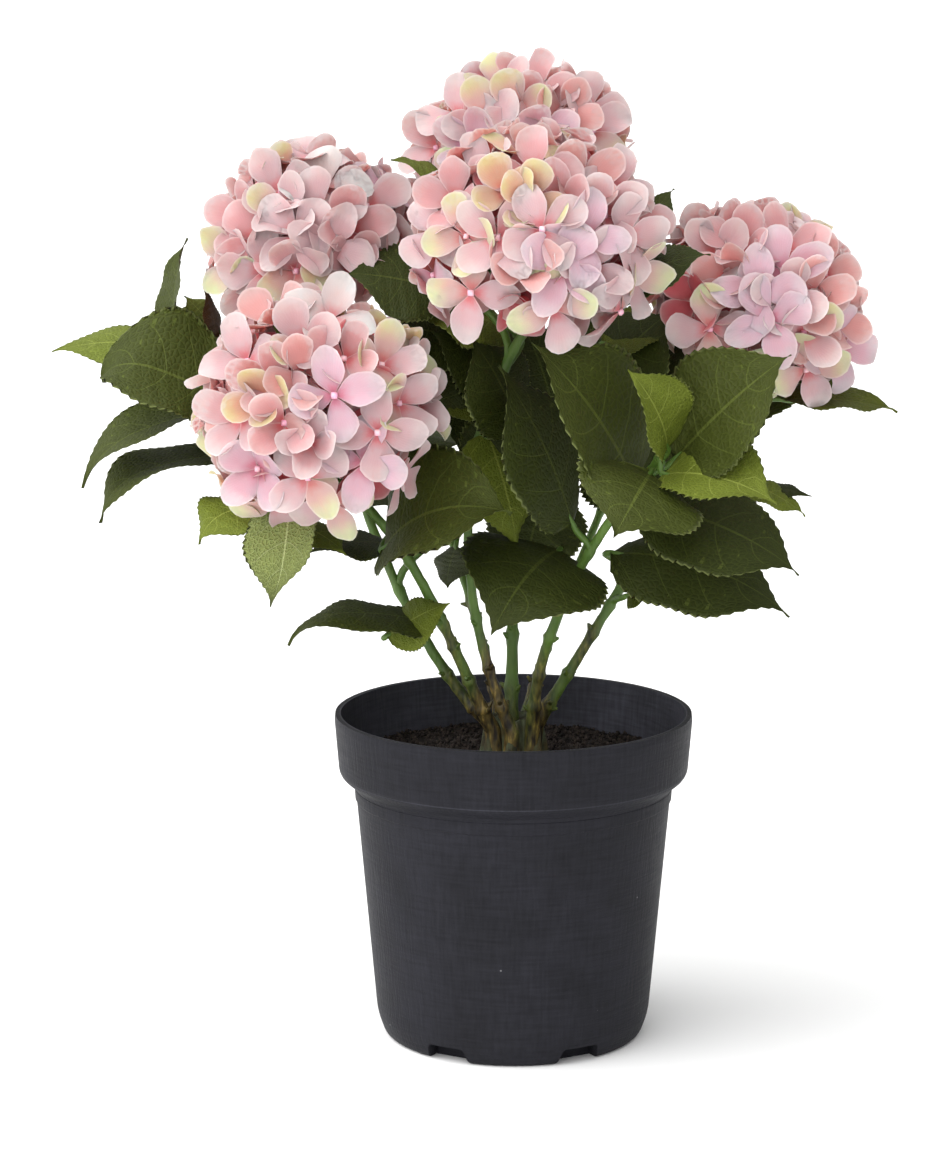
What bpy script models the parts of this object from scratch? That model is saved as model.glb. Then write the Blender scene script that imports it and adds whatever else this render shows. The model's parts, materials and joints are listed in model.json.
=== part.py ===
"""Potted artificial hydrangea: a moulded pot filled to a crumb surface, a short
trunk that splits into eight stems, leafy shoots and five round flower heads.

Metres, +Z up. The origin is on the pot's axis at its flat underside; +X is to
the right and -Y is the side the plant is shown from. Sizes below are in
millimetres and are scaled once, when a mesh is made.
"""
import bpy
import bmesh
import math
import random
from mathutils import Vector

MM = 0.001
GAP = 0.3                  # clearance kept between neighbouring solids

# pot
POT_HEIGHT = 138.0
RIM_RADIUS = 75.0
FOOT_RADIUS = 53.0
WALL = 2.6
FLOOR = 9.0
POT_SIDES = 48
NOTCH_COUNT = 6            # drainage notches in the foot
NOTCH_WIDTH = 15.0
NOTCH_HEIGHT = 6.0
NOTCH_REACH = 46.5         # how near the axis a notch goes

# filling and trunk
SOIL_TOP = 118.0
SOIL_RELIEF = 2.2
TRUNK_TOP = 131.0
TRUNK_FOOT_RADIUS = 17.0
TRUNK_SIDES = 20
TRUNK_LOBES = 5
STEM_SIDES = 8

# stems: each curve runs from a seat on the trunk to its leafy shoot
# seat (x, y), first pull, second pull, end, thickness at the foot, share of it that is bare
STEMS = {
    "left_back":   ((-9.0, 4.5), (-34, 5, 150), (-78, 14, 235), (-76, 18, 300), 7.4, 0.60),
    "left_front":  ((-8.5, -5.5), (-24, -14, 162), (-36, -22, 208), (-66, -40, 238), 7.8, 0.60),
    "centre":      ((-0.5, -10.0), (-15, -12, 165), (-36, -12, 235), (6, -34, 306), 7.0, 0.44),
    "top_back":    ((-1.0, 3.0), (0, 12, 180), (0, 30, 270), (2, 50, 328), 7.6, 0.55),
    "front":       ((8.0, -6.5), (8, -16, 168), (26, -32, 214), (58, -58, 254), 7.4, 0.62),
    "right":       ((9.5, 3.5), (26, 0, 160), (60, -4, 215), (92, 20, 274), 7.4, 0.55),
    "back_left":   ((-5.5, 11.5), (-14, 30, 175), (-34, 60, 215), (-44, 84, 262), 6.4, 0.60),
    "back_right":  ((5.0, 11.5), (16, 32, 175), (40, 62, 210), (56, 78, 262), 6.4, 0.60),
}
LEAF_LENGTH_TO_THICK = 70.0
PETIOLE_RADIUS = 1.8

# flower heads: centre, the way the dome faces, radius across, height to width
HEADS = {
    "left_front": ((-78, -58, 273), (-0.22, -0.66, 0.72), 51.0, 0.98),
    "centre":     ((8, -48, 340), (0.02, -0.42, 0.90), 52.0, 0.88),
    "left_back":  ((-84, 22, 331), (-0.20, -0.12, 0.97), 46.0, 0.92),
    "top_back":   ((3, 60, 364), (0.02, 0.20, 0.98), 50.0, 0.90),
    "right":      ((99, 15, 306), (0.30, -0.30, 0.90), 49.0, 0.88),
}
SEED = "b"
FLORETS = 26               # on each head
FLORET_SPAN = 34.0         # across two opposite petals
HEAD_OPEN = 112.0          # degrees from the dome's top down to the open underside
FLORET_DEPTH = 15.0        # from its face to its root in the core
CORE = 0.74                # core radius as a share of the head's


def material(name, rgb, rough):
    m = bpy.data.materials.new(name)
    m.use_nodes = True
    b = m.node_tree.nodes["Principled BSDF"]
    b.inputs["Base Color"].default_value = (*rgb, 1.0)
    b.inputs["Roughness"].default_value = rough
    m.diffuse_color = (*rgb, 1.0)
    return m


def solid(name, verts, faces, mat=None):
    """One mesh object from points in millimetres, with its faces turned outwards."""
    me = bpy.data.meshes.new(name)
    me.from_pydata([Vector(v) * MM for v in verts], [], faces)
    bm = bmesh.new()
    bm.from_mesh(me)
    bmesh.ops.recalc_face_normals(bm, faces=bm.faces)
    bmesh.ops.triangulate(bm, faces=[f for f in bm.faces if len(f.verts) > 4])
    bm.to_mesh(me)
    bm.free()
    me.validate()
    ob = bpy.data.objects.new(name, me)
    bpy.context.scene.collection.objects.link(ob)
    if mat:
        me.materials.append(mat)
    return ob


def lathe(profile, sides, relief=None):
    """Points and faces turned from (radius, height) pairs that start and end on the axis."""
    verts = []
    faces = []
    rings = []
    for r, z in profile:
        if r == 0:
            rings.append([len(verts)])
            verts.append((0, 0, z))
            continue
        rings.append(list(range(len(verts), len(verts) + sides)))
        for k in range(sides):
            a = 2 * math.pi * k / sides
            dz = relief(r, z, a) if relief else 0.0
            verts.append((r * math.cos(a), r * math.sin(a), z + dz))
    for lo, hi in zip(rings, rings[1:]):
        for k in range(sides):
            n = (k + 1) % sides
            if len(lo) == 1:
                faces.append((lo[0], hi[k], hi[n]))
            elif len(hi) == 1:
                faces.append((lo[n], lo[k], hi[0]))
            else:
                faces.append((lo[k], hi[k], hi[n], lo[n]))
    return verts, faces


def tube(points, radii, sides, level_foot=False):
    """A closed limb through the points; its foot can be cut level."""
    verts = []
    faces = []
    side = Vector((1, 0, 0))
    for i, p in enumerate(points):
        a = points[max(i - 1, 0)]
        b = points[min(i + 1, len(points) - 1)]
        way = (b - a).normalized()
        if level_foot and i == 0:
            way = Vector((0, 0, 1))
        side = (side - way * side.dot(way)).normalized()
        other = way.cross(side)
        for k in range(sides):
            t = 2 * math.pi * k / sides
            verts.append(p + (side * math.cos(t) + other * math.sin(t)) * radii[i])
    for i in range(len(points) - 1):
        for k in range(sides):
            n = (k + 1) % sides
            lo, hi = i * sides, (i + 1) * sides
            faces.append((lo + k, lo + n, hi + n, hi + k))
    faces.append(tuple(reversed(range(sides))))
    last = (len(points) - 1) * sides
    faces.append(tuple(range(last, last + sides)))
    return verts, faces


def bezier(p, t):
    u = 1 - t
    return p[0] * u ** 3 + p[1] * (3 * u * u * t) + p[2] * (3 * u * t * t) + p[3] * t ** 3


def stem_curve(name):
    seat, pull, pull2, end, thick, bare = STEMS[name]
    foot = Vector((seat[0], seat[1], TRUNK_TOP + GAP))
    return [foot, Vector(pull), Vector(pull2), Vector(end)]


def stem_radius(name, t):
    return STEMS[name][4] * 0.5 * (1.0 - 0.36 * t)


def stem_part(name, t0, t1, rings, level_foot=False):
    curve = stem_curve(name)
    ts = [t0 + (t1 - t0) * i / (rings - 1) for i in range(rings)]
    return tube([bezier(curve, t) for t in ts], [stem_radius(name, t) for t in ts],
                STEM_SIDES, level_foot)


# share of the length, half width as a share of the width
BLADE = ((0.0, 0.0), (0.13, 0.33), (0.38, 0.50), (0.66, 0.37), (1.0, 0.0))


def leaf(root, tip, face, width, arch, cup, petiole=0.10):
    """A closed ovate blade on its stalk; face is the way its upper side looks."""
    root = Vector(root)
    chord = Vector(tip) - root
    length = chord.length
    along = chord.normalized()
    up = Vector(face)
    up = (up - along * up.dot(along)).normalized()
    side = up.cross(along)
    half = 0.5 * length / LEAF_LENGTH_TO_THICK

    def middle(u):
        return root + along * (length * u) + up * (arch * length * 4 * u * (1 - u))

    top = []
    low = []
    for s, w in BLADE:
        u = petiole + (1 - petiole) * s
        m = middle(u)
        cross = (0,) if w == 0 else (-1, 0, 1)
        top.append([m + side * (w * width * c) - up * (cup * width * w * abs(c)) + up * half
                    for c in cross])
        low.append([p - up * (2 * half) for p in top[-1]])
    verts = []
    faces = []

    def row(points):
        first = len(verts)
        verts.extend(points)
        return list(range(first, len(verts)))

    tops = [row(r) for r in top]
    lows = [row(r) for r in low]
    for rows, flip in ((tops, False), (lows, True)):
        for a, b in zip(rows, rows[1:]):
            if len(a) == 1:
                tris = [(a[0], b[1], b[0]), (a[0], b[2], b[1])]
            elif len(b) == 1:
                tris = [(a[0], a[1], b[0]), (a[1], a[2], b[0])]
            else:
                tris = [(a[0], a[1], b[1], b[0]), (a[1], a[2], b[2], b[1])]
            faces.extend([tuple(reversed(t)) if flip else t for t in tris])
    for a, b, c, d in zip(tops, tops[1:], lows, lows[1:]):
        for e in (0, -1):
            faces.append((a[e], b[e], d[e], c[e]))
    stalk = [root, middle(petiole * 0.7), middle(petiole + 0.10)]
    thick = PETIOLE_RADIUS
    return [(verts, faces), tube(stalk, [thick, thick, thick * 0.6], 3)]


def fuse(name, pieces, mat):
    """Join closed pieces into one body; sealed hollows and loose scraps are dropped."""
    group = bpy.data.collections.new(name + "_pieces")
    bpy.context.scene.collection.children.link(group)
    first = solid(name, *pieces[0], mat)
    for k, (v, f) in enumerate(pieces[1:]):
        ob = solid("piece_%d" % k, v, f)
        bpy.context.scene.collection.objects.unlink(ob)
        group.objects.link(ob)
    mod = first.modifiers.new("join", "BOOLEAN")
    mod.operation = "UNION"
    mod.solver = "EXACT"
    mod.operand_type = "COLLECTION"
    mod.collection = group
    bpy.context.view_layer.update()
    deps = bpy.context.evaluated_depsgraph_get()
    joined = bpy.data.meshes.new_from_object(first.evaluated_get(deps))
    first.modifiers.clear()
    old = first.data
    first.data = joined
    bpy.data.meshes.remove(old)
    joined.name = name
    for ob in list(group.objects):
        me = ob.data
        bpy.data.objects.remove(ob)
        bpy.data.meshes.remove(me)
    bpy.data.collections.remove(group)
    joined.materials.clear()
    joined.materials.append(mat)
    keep_main_body(first)
    return first


def keep_main_body(ob):
    bm = bmesh.new()
    bm.from_mesh(ob.data)
    bmesh.ops.remove_doubles(bm, verts=bm.verts, dist=1e-6)
    bmesh.ops.dissolve_degenerate(bm, edges=bm.edges, dist=1e-6)
    bmesh.ops.triangulate(bm, faces=bm.faces)
    left = set(bm.faces)
    bodies = []
    while left:
        seed = left.pop()
        body = [seed]
        todo = [seed]
        while todo:
            for e in todo.pop().edges:
                for g in e.link_faces:
                    if g in left:
                        left.discard(g)
                        body.append(g)
                        todo.append(g)
        bodies.append(body)
    bodies.sort(key=len)
    scrap = [f for body in bodies[:-1] for f in body]
    bmesh.ops.delete(bm, geom=scrap, context="FACES")
    bm.to_mesh(ob.data)
    bm.free()


# ---------------------------------------------------------------- scene cleared
for old in list(bpy.data.objects):
    bpy.data.objects.remove(old)

POT_MAT = material("pot_plastic", (0.040, 0.042, 0.047), 0.62)
SOIL_MAT = material("soil_crumbs", (0.018, 0.011, 0.008), 0.95)
BARK_MAT = material("stem_bark", (0.105, 0.085, 0.030), 0.70)
STEM_MAT = material("stem_green", (0.060, 0.190, 0.060), 0.60)
LEAF_MAT = material("leaf_cloth", (0.045, 0.075, 0.020), 0.70)
PETAL_MAT = material("petal_cloth", (0.760, 0.420, 0.450), 0.75)

# ---------------------------------------------------------------- pot
OUTSIDE = ((0, 0), (48.5, 0), (FOOT_RADIUS, 1.6), (55.6, 5.5), (56.5, 12.0), (65.2, 97.6),
           (65.9, 98.9), (65.9, 100.2), (66.3, 101.6), (67.2, 106.0), (73.0, 112.2),
           (73.6, 113.6), (74.9, 135.6), (74.5, 137.3), (73.4, POT_HEIGHT))
INSIDE = ((72.3, 137.3), (71.9, 135.6), (70.6, 113.0), (64.2, 106.0), (62.8, 97.0),
          (54.0, 13.0), (50.5, FLOOR), (0, FLOOR))
pot = solid("pot", *lathe(OUTSIDE + INSIDE, POT_SIDES), POT_MAT)
cutters = []
for k in range(NOTCH_COUNT):
    a = math.radians(-90 + 30 + 360 * k / NOTCH_COUNT)
    reach = 70.0 - NOTCH_REACH
    half = NOTCH_WIDTH / 2
    box = []
    for r in (NOTCH_REACH, NOTCH_REACH + reach):
        for s, z in ((-half, -5.0), (half, -5.0), (half - 1.5, NOTCH_HEIGHT), (-half + 1.5, NOTCH_HEIGHT)):
            box.append((r * math.cos(a) - s * math.sin(a), r * math.sin(a) + s * math.cos(a), z))
    faces = [(0, 1, 2, 3), (7, 6, 5, 4), (0, 4, 5, 1), (1, 5, 6, 2), (2, 6, 7, 3), (3, 7, 4, 0)]
    cut = solid("notch_%d" % k, box, faces)
    mod = pot.modifiers.new("notch_%d" % k, "BOOLEAN")
    mod.operation = "DIFFERENCE"
    mod.solver = "EXACT"
    mod.object = cut
    cutters.append(cut)
bpy.context.view_layer.update()
deps = bpy.context.evaluated_depsgraph_get()
cut_pot = bpy.data.meshes.new_from_object(pot.evaluated_get(deps))
pot.modifiers.clear()
pot.data = cut_pot
cut_pot.name = "pot"
cut_pot.materials.clear()
cut_pot.materials.append(POT_MAT)
for cut in cutters:
    bpy.data.objects.remove(cut)
keep_main_body(pot)

# ---------------------------------------------------------------- filling
rng = random.Random(11)
bumps = [(rng.randint(2, 9), rng.uniform(0, 6.28), rng.uniform(0.2, 0.6)) for _ in range(7)]


def crumbs(r, z, a):
    """Low waves on the open top only, level round the trunk and at the wall."""
    if z != SOIL_TOP or r < 30.0 or r > 65.0:
        return 0.0
    wave = sum(math.sin(n * a + p + r * q) for n, p, q in bumps) / 4
    return SOIL_RELIEF * max(-0.8, min(0.8, wave))


body_rings = [(0, FLOOR + GAP), (50.2, FLOOR + GAP), (53.6, 13.2), (62.4, 97.1),
              (63.7, 106.1), (70.1, 113.2)]
top_rings = [(r, SOIL_TOP) for r in (69.6, 62.0, 52.0, 42.0, 32.0, 22.0, 0)]
soil = solid("soil_fill", *lathe(body_rings + top_rings, 40, crumbs), SOIL_MAT)

# ---------------------------------------------------------------- trunk
verts = []
faces = []
rows = ((0.0, 1.0), (0.12, 0.90), (0.32, 0.82), (0.65, 0.79), (1.0, 0.80))
foot_z = SOIL_TOP + GAP
for s, w in rows:
    for k in range(TRUNK_SIDES):
        a = 2 * math.pi * k / TRUNK_SIDES
        lobe = 1.0 + 0.10 * (1 - s) * math.cos(TRUNK_LOBES * a + 0.6)
        r = TRUNK_FOOT_RADIUS * w * lobe if s < 1 else TRUNK_FOOT_RADIUS * w
        verts.append((r * math.cos(a) + 1.2 * s - 0.4, r * math.sin(a) + 1.5 * s - 0.6,
                      foot_z + (TRUNK_TOP - foot_z) * s))
for i in range(len(rows) - 1):
    for k in range(TRUNK_SIDES):
        n = (k + 1) % TRUNK_SIDES
        lo, hi = i * TRUNK_SIDES, (i + 1) * TRUNK_SIDES
        faces.append((lo + k, lo + n, hi + n, hi + k))
faces.append(tuple(reversed(range(TRUNK_SIDES))))
faces.append(tuple(range(len(verts) - TRUNK_SIDES, len(verts))))
trunk = solid("trunk", verts, faces, BARK_MAT)

# ---------------------------------------------------------------- bare stems
for name in STEMS:
    bare = STEMS[name][5]
    solid("stem_" + name, *stem_part(name, 0.0, bare, 7, True), STEM_MAT)

# ---------------------------------------------------------------- leaves
# place on the stem curve, tip, way the upper side faces, width, arch, cup
LEAVES = {
    "left_back": (
        (0.81, (-164, -26, 280), (-0.25, -0.85, 0.40), 58, 0.08, 0.18),
        (0.68, (-136, 20, 335), (0.85, -0.35, 0.40), 34, -0.28, 0.20),
        (0.78, (-189, 2, 288), (-0.10, -0.55, 0.80), 44, 0.04, 0.25),
        (0.70, (-175, -30, 240), (-0.10, -0.25, 0.95), 44, 0.20, 0.30),
        (0.63, (-170, -35, 223), (-0.10, -0.20, 0.97), 44, 0.14, 0.30),
        (0.88, (-150, 62, 298), (-0.35, 0.15, 0.92), 48, 0.10, 0.15),
        (0.80, (-96, 94, 290), (0.00, 0.30, 0.95), 50, 0.12, 0.15),
        (0.68, (-140, 62, 262), (-0.30, 0.20, 0.93), 54, 0.14, 0.20),
    ),
    "left_front": (
        (0.76, (-131, -42, 216), (-0.25, -0.75, 0.60), 34, 0.06, 0.20),
        (0.88, (-95, -84, 199), (-0.35, -0.90, 0.10), 32, 0.04, 0.15),
        (0.80, (5, -68, 238), (-0.20, -0.85, 0.48), 62, 0.12, 0.20),
        (0.72, (-88, -24, 217), (0.00, -0.10, 1.00), 36, 0.04, 0.10),
    ),
    "centre": (
        (0.50, (37, -66, 196), (0.10, -0.80, 0.55), 56, 0.16, 0.25),
        (0.54, (-14, -74, 187), (0.10, -0.90, 0.40), 46, 0.16, 0.20),
        (0.88, (-58, -21, 324), (-0.30, -0.80, 0.50), 24, -0.02, 0.10),
        (0.80, (-34, 14, 290), (-0.30, -0.60, 0.80), 50, 0.10, 0.20),
        (0.62, (16, -22, 268), (0.30, -0.90, 0.20), 48, 0.05, 0.10),
        (0.80, (77, -38, 318), (0.05, -0.55, 0.85), 36, -0.03, 0.20),
    ),
    "top_back": (
        (0.72, (-50, 72, 284), (-0.20, 0.20, 0.95), 46, 0.12, 0.20),
        (0.76, (64, 52, 300), (0.20, -0.20, 0.95), 54, 0.14, 0.20),
        (0.60, (12, -6, 214), (0.20, -0.80, 0.50), 46, 0.06, 0.10),
        (0.66, (-36, 10, 262), (-0.20, -0.85, 0.40), 48, 0.06, 0.15),
        (0.86, (-30, 118, 318), (-0.10, 0.50, 0.85), 54, 0.12, 0.20),
        (0.90, (48, 108, 322), (0.10, 0.50, 0.85), 54, 0.12, 0.20),
    ),
    "front": (
        (0.76, (-5, -50, 287), (-0.10, -0.95, 0.10), 50, 0.05, 0.15),
        (0.88, (9, -88, 300), (0.10, -0.97, 0.20), 58, 0.03, 0.20),
        (0.90, (111, -72, 296), (0.05, -0.97, 0.20), 58, 0.03, 0.20),
        (0.84, (116, -72, 208), (0.10, -0.85, 0.45), 56, 0.10, 0.20),
        (0.93, (39, -112, 226), (0.10, -0.80, 0.55), 50, 0.15, 0.20),
        (0.99, (43, -88, 295), (0.25, -0.95, 0.10), 30, 0.10, 0.20),
        (0.99, (105, -92, 240), (0.05, -0.85, 0.50), 36, 0.10, 0.20),
    ),
    "right": (
        (0.60, (112, -36, 188), (0.15, -0.75, 0.62), 46, 0.22, 0.20),
        (0.66, (120, -20, 232), (0.10, -0.50, 0.85), 34, 0.06, 0.20),
        (0.62, (84, 2, 268), (0.05, -0.90, 0.40), 50, 0.06, 0.15),
        (0.70, (34, 0, 262), (-0.10, -0.90, 0.40), 48, 0.06, 0.15),
        (0.86, (160, 16, 262), (0.10, -0.12, 1.00), 40, 0.06, 0.20),
        (0.84, (150, 66, 262), (0.25, 0.30, 0.90), 48, 0.08, 0.20),
        (0.74, (98, 70, 276), (0.10, 0.40, 0.90), 46, 0.10, 0.20),
    ),
    "back_left": (
        (0.66, (-104, 66, 214), (-0.20, 0.10, 0.97), 52, 0.14, 0.20),
        (0.70, (18, 76, 226), (0.20, 0.10, 0.97), 50, 0.14, 0.20),
        (0.82, (-60, 142, 232), (-0.10, 0.50, 0.85), 54, 0.12, 0.20),
        (0.96, (-100, 116, 262), (-0.30, 0.30, 0.90), 44, 0.12, 0.20),
        (0.98, (-18, 118, 268), (0.20, 0.30, 0.90), 44, 0.12, 0.20),
    ),
    "back_right": (
        (0.66, (112, 52, 214), (0.20, 0.10, 0.97), 52, 0.14, 0.20),
        (0.82, (50, 138, 226), (0.10, 0.50, 0.85), 54, 0.12, 0.20),
        (0.96, (112, 112, 256), (0.30, 0.30, 0.90), 44, 0.12, 0.20),
    ),
}

built = []
for name, rows in LEAVES.items():
    bare = STEMS[name][5]
    curve = stem_curve(name)
    step = (bezier(curve, bare + 0.01) - bezier(curve, bare)).length * 100
    pieces = [stem_part(name, bare + GAP * 1.9 / step, 1.0, 6)]
    for t, tip, face, width, arch, cup in rows:
        root = bezier(stem_curve(name), t)
        pieces.extend(leaf(root, tip, face, width, arch, cup))
    built.append(fuse("leaves_" + name, pieces, LEAF_MAT))

LOW_LEAF = (0.31, (-95, -46, 184), (-0.15, -0.50, 0.85), 36, 0.10, 0.25)
t, tip, face, width, arch, cup = LOW_LEAF
root = bezier(stem_curve("left_front"), t)
root += (Vector(tip) - root).normalized() * (stem_radius("left_front", t) + GAP + 3.1)
built.append(fuse("low_leaf", leaf(root, tip, face, width, arch, cup), LEAF_MAT))

# ---------------------------------------------------------------- flower heads


def head_frame(name):
    centre, way, radius, squash = HEADS[name]
    up = Vector(way).normalized()
    side = Vector((0, 1, 0)).cross(up).normalized()
    other = up.cross(side)
    return Vector(centre), up, side, other, radius, squash


def floret_places(name):
    """Seeded, even places over the dome: direction in the head's own frame and a spin."""
    rng = random.Random(name + SEED)
    low = math.cos(math.radians(HEAD_OPEN))
    places = []
    for k in range(FLORETS):
        h = 1 - (k + 0.5) / FLORETS * (1 - low)
        a = k * 2.399963 + rng.uniform(-0.12, 0.12)
        r = math.sqrt(1 - h * h)
        tilt = Vector((rng.uniform(-0.10, 0.10), rng.uniform(-0.10, 0.10), 0))
        places.append((Vector((r * math.cos(a), r * math.sin(a), h)), rng.uniform(0, 1.57),
                       rng.uniform(-2.5, 1.5), tilt))
    return places


def floret(origin, out, spin, depth):
    """Four lobes on a wedge that runs down into the core."""
    side = out.cross(Vector((0.3, 0.5, 0.8))).normalized()
    other = out.cross(side)
    rim = []
    half = FLORET_SPAN / 2
    for p in range(4):
        for d, r, z in ((-0.785, 0.40, -0.8), (-0.36, 1.0, 1.2), (0.36, 1.0, 1.2)):
            a = spin + p * math.pi / 2 + d
            rim.append(origin + (side * math.cos(a) + other * math.sin(a)) * (half * r) + out * z)
    verts = rim + [origin + out * 0.4, origin - out * depth]
    n = len(rim)
    faces = [(k, (k + 1) % n, n) for k in range(n)]
    for k in range(0, n, 3):
        faces.append(((k + 2) % n, (k + 1) % n, k))
        faces.append(((k + 3) % n, (k + 2) % n, k))
        faces.append(((k + 3) % n, k, n + 1))
    return verts, faces


def core(centre, up, side, other, radius, squash):
    verts = []
    faces = []
    rings = 6
    sides = 10
    for i in range(rings + 1):
        a = math.pi * i / rings
        ring = []
        count = 1 if i in (0, rings) else sides
        for k in range(count):
            t = 2 * math.pi * k / sides
            ring.append(centre + side * (radius * math.sin(a) * math.cos(t))
                        + other * (radius * math.sin(a) * math.sin(t))
                        + up * (radius * squash * math.cos(a)))
        verts.append(ring)
    flat = [p for ring in verts for p in ring]
    first = [0]
    for ring in verts:
        first.append(first[-1] + len(ring))
    for i in range(rings):
        for k in range(sides):
            n = (k + 1) % sides
            a, b = first[i], first[i + 1]
            if i == 0:
                faces.append((a, b + k, b + n))
            elif i == rings - 1:
                faces.append((a + k, b, a + n))
            else:
                faces.append((a + k, b + k, b + n, a + n))
    return flat, faces


for name in HEADS:
    centre, up, side, other, radius, squash = head_frame(name)
    pieces = [core(centre, up, side, other, radius * CORE, squash)]
    end = Vector(STEMS[name][3])
    lead = (bezier(stem_curve(name), 1.0) - bezier(stem_curve(name), 0.97)).normalized()
    start = end + lead * (GAP * 1.3)
    r = stem_radius(name, 1.0)
    pieces.append(tube([start, start + lead * 3.0, centre - up * (radius * squash * CORE * 0.6)],
                       [r, r, r], STEM_SIDES))
    for d, spin, lift, tilt in floret_places(name):
        out = (side * d.x + other * d.y + up * (d.z / squash)).normalized()
        reach = radius - 5.0 + lift
        origin = centre + side * (d.x * reach) + other * (d.y * reach) + up * (d.z * reach * squash)
        lean = (out + side * tilt.x + other * tilt.y).normalized()
        pieces.append(floret(origin, lean, spin, FLORET_DEPTH))
    built.append(fuse("flower_head_" + name, pieces, PETAL_MAT))
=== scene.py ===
"""Looks for the potted artificial hydrangea.

A moulded nursery pot filled with dark crumbs, eight moulded stems that leave a short mossy
trunk, cloth leaves with toothed edges, and five round heads of silk florets. Sizes below are
in millimetres and are turned into metres where a mesh or a pattern is made. +X is to the right
and -Y is the side the plant is shown from.
"""
import json
import math
import random

import bpy
import bmesh
from mathutils import Matrix, Vector

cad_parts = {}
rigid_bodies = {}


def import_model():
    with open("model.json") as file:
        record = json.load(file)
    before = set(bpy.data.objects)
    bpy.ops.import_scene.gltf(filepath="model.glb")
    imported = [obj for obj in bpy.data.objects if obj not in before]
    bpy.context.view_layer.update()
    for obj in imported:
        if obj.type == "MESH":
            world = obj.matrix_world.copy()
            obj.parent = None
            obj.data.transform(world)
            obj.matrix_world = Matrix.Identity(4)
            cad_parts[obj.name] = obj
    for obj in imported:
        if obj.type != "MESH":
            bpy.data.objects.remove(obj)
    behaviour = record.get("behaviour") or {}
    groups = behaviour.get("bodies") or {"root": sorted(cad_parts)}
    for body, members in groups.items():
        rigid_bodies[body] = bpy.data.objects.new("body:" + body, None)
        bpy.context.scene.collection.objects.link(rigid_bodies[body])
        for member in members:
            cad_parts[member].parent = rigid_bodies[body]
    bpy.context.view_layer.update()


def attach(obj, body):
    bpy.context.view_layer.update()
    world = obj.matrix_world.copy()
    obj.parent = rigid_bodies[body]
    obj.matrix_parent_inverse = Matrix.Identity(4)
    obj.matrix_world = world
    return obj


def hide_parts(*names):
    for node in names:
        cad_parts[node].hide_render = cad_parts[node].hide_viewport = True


MM = 0.001
MAP = "OFBake"             # the map that petals and leaves lie on, one cell for each finish

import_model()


# ---------------------------------------------------------------- nodes
def linear(code):
    """An sRGB hex colour as linear red, green, blue and alpha."""
    parts = [int(code[i:i + 2], 16) / 255 for i in (1, 3, 5)]
    return tuple(c / 12.92 if c <= 0.04045 else ((c + 0.055) / 1.055) ** 2.4 for c in parts) + (1.0,)


def add(tree, kind, ins=(), out=0, **settings):
    """One node with its settings, and its inputs, in order or by name, from values or outputs.

    The kind goes without ShaderNode in front, and may have the node's operation after it. A
    colour Mix takes its share at 0 and its two colours at 6 and 7, and gives its result at 2.
    """
    kind, _, operation = kind.partition(" ")
    node = tree.nodes.new(kind if "Node" in kind else "ShaderNode" + kind)
    if operation:
        node.operation = operation
    for key, value in settings.items():
        setattr(node, key, value)
    for key, value in ins.items() if isinstance(ins, dict) else enumerate(ins):
        if isinstance(value, bpy.types.NodeSocket):
            tree.links.new(value, node.inputs[key])
        else:
            node.inputs[key].default_value = value
    return node if out is None else node.outputs[out]


def new_tree(name, sizes):
    """An empty node tree for a modifier, with its named inputs."""
    tree = bpy.data.node_groups.new(name, "GeometryNodeTree")
    tree.is_modifier = True
    tree.interface.new_socket("Geometry", in_out="INPUT", socket_type="NodeSocketGeometry")
    for label, kind, value in sizes:
        socket = tree.interface.new_socket(label, in_out="INPUT", socket_type="NodeSocket" + kind)
        if value is not None:
            socket.default_value = value
    tree.interface.new_socket("Geometry", in_out="OUTPUT", socket_type="NodeSocketGeometry")
    return tree, add(tree, "NodeGroupInput", out=None).outputs


# ---------------------------------------------------------------- meshes
def linked(thing):
    """Puts an object into the scene."""
    bpy.context.scene.collection.objects.link(thing)
    return thing


def mesh_object(name, points, faces=(), edges=()):
    """A mesh object made of points in millimetres."""
    mesh = bpy.data.meshes.new(name)
    mesh.from_pydata([Vector(p) * MM for p in points], edges, faces)
    return linked(bpy.data.objects.new(name, mesh))


def closed(thing, merge=0.002):
    """Merges the doubles of a mesh and turns its faces outwards."""
    shape = bmesh.new()
    shape.from_mesh(thing.data)
    bmesh.ops.remove_doubles(shape, verts=shape.verts, dist=merge * MM)
    bmesh.ops.recalc_face_normals(shape, faces=shape.faces)
    shape.to_mesh(thing.data)
    shape.free()
    return thing


def smooth(thing, angle=None):
    """Smooth faces, with the edges sharper than the angle, in degrees, left sharp."""
    for face in thing.data.polygons:
        face.use_smooth = True
    if angle:
        thing.data.set_sharp_from_angle(angle=math.radians(angle))
    return thing


def plain_mesh(thing, **options):
    """Takes the modifiers' result as the thing's own mesh, and removes the modifiers."""
    view = bpy.context.evaluated_depsgraph_get()
    mesh = bpy.data.meshes.new_from_object(thing.evaluated_get(view), **options)
    thing.modifiers.clear()
    thing.data = mesh
    return mesh


def grown(thing, tree, values):
    """The plain mesh piece that the tree makes of thing."""
    modifier = thing.modifiers.new("grow", "NODES")
    modifier.node_group = tree
    for item in tree.interface.items_tree:
        if item.item_type == "SOCKET" and item.in_out == "INPUT" and item.name in values:
            modifier[item.identifier] = values[item.name]
    mesh = plain_mesh(thing, preserve_all_data_layers=True,
                      depsgraph=bpy.context.evaluated_depsgraph_get())
    mesh.name = thing.name
    for extra in [a.name for a in mesh.attributes if a.name in ("thick", "turn", "kind", "shape", "size")]:
        mesh.attributes.remove(mesh.attributes[extra])
    return thing


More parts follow.
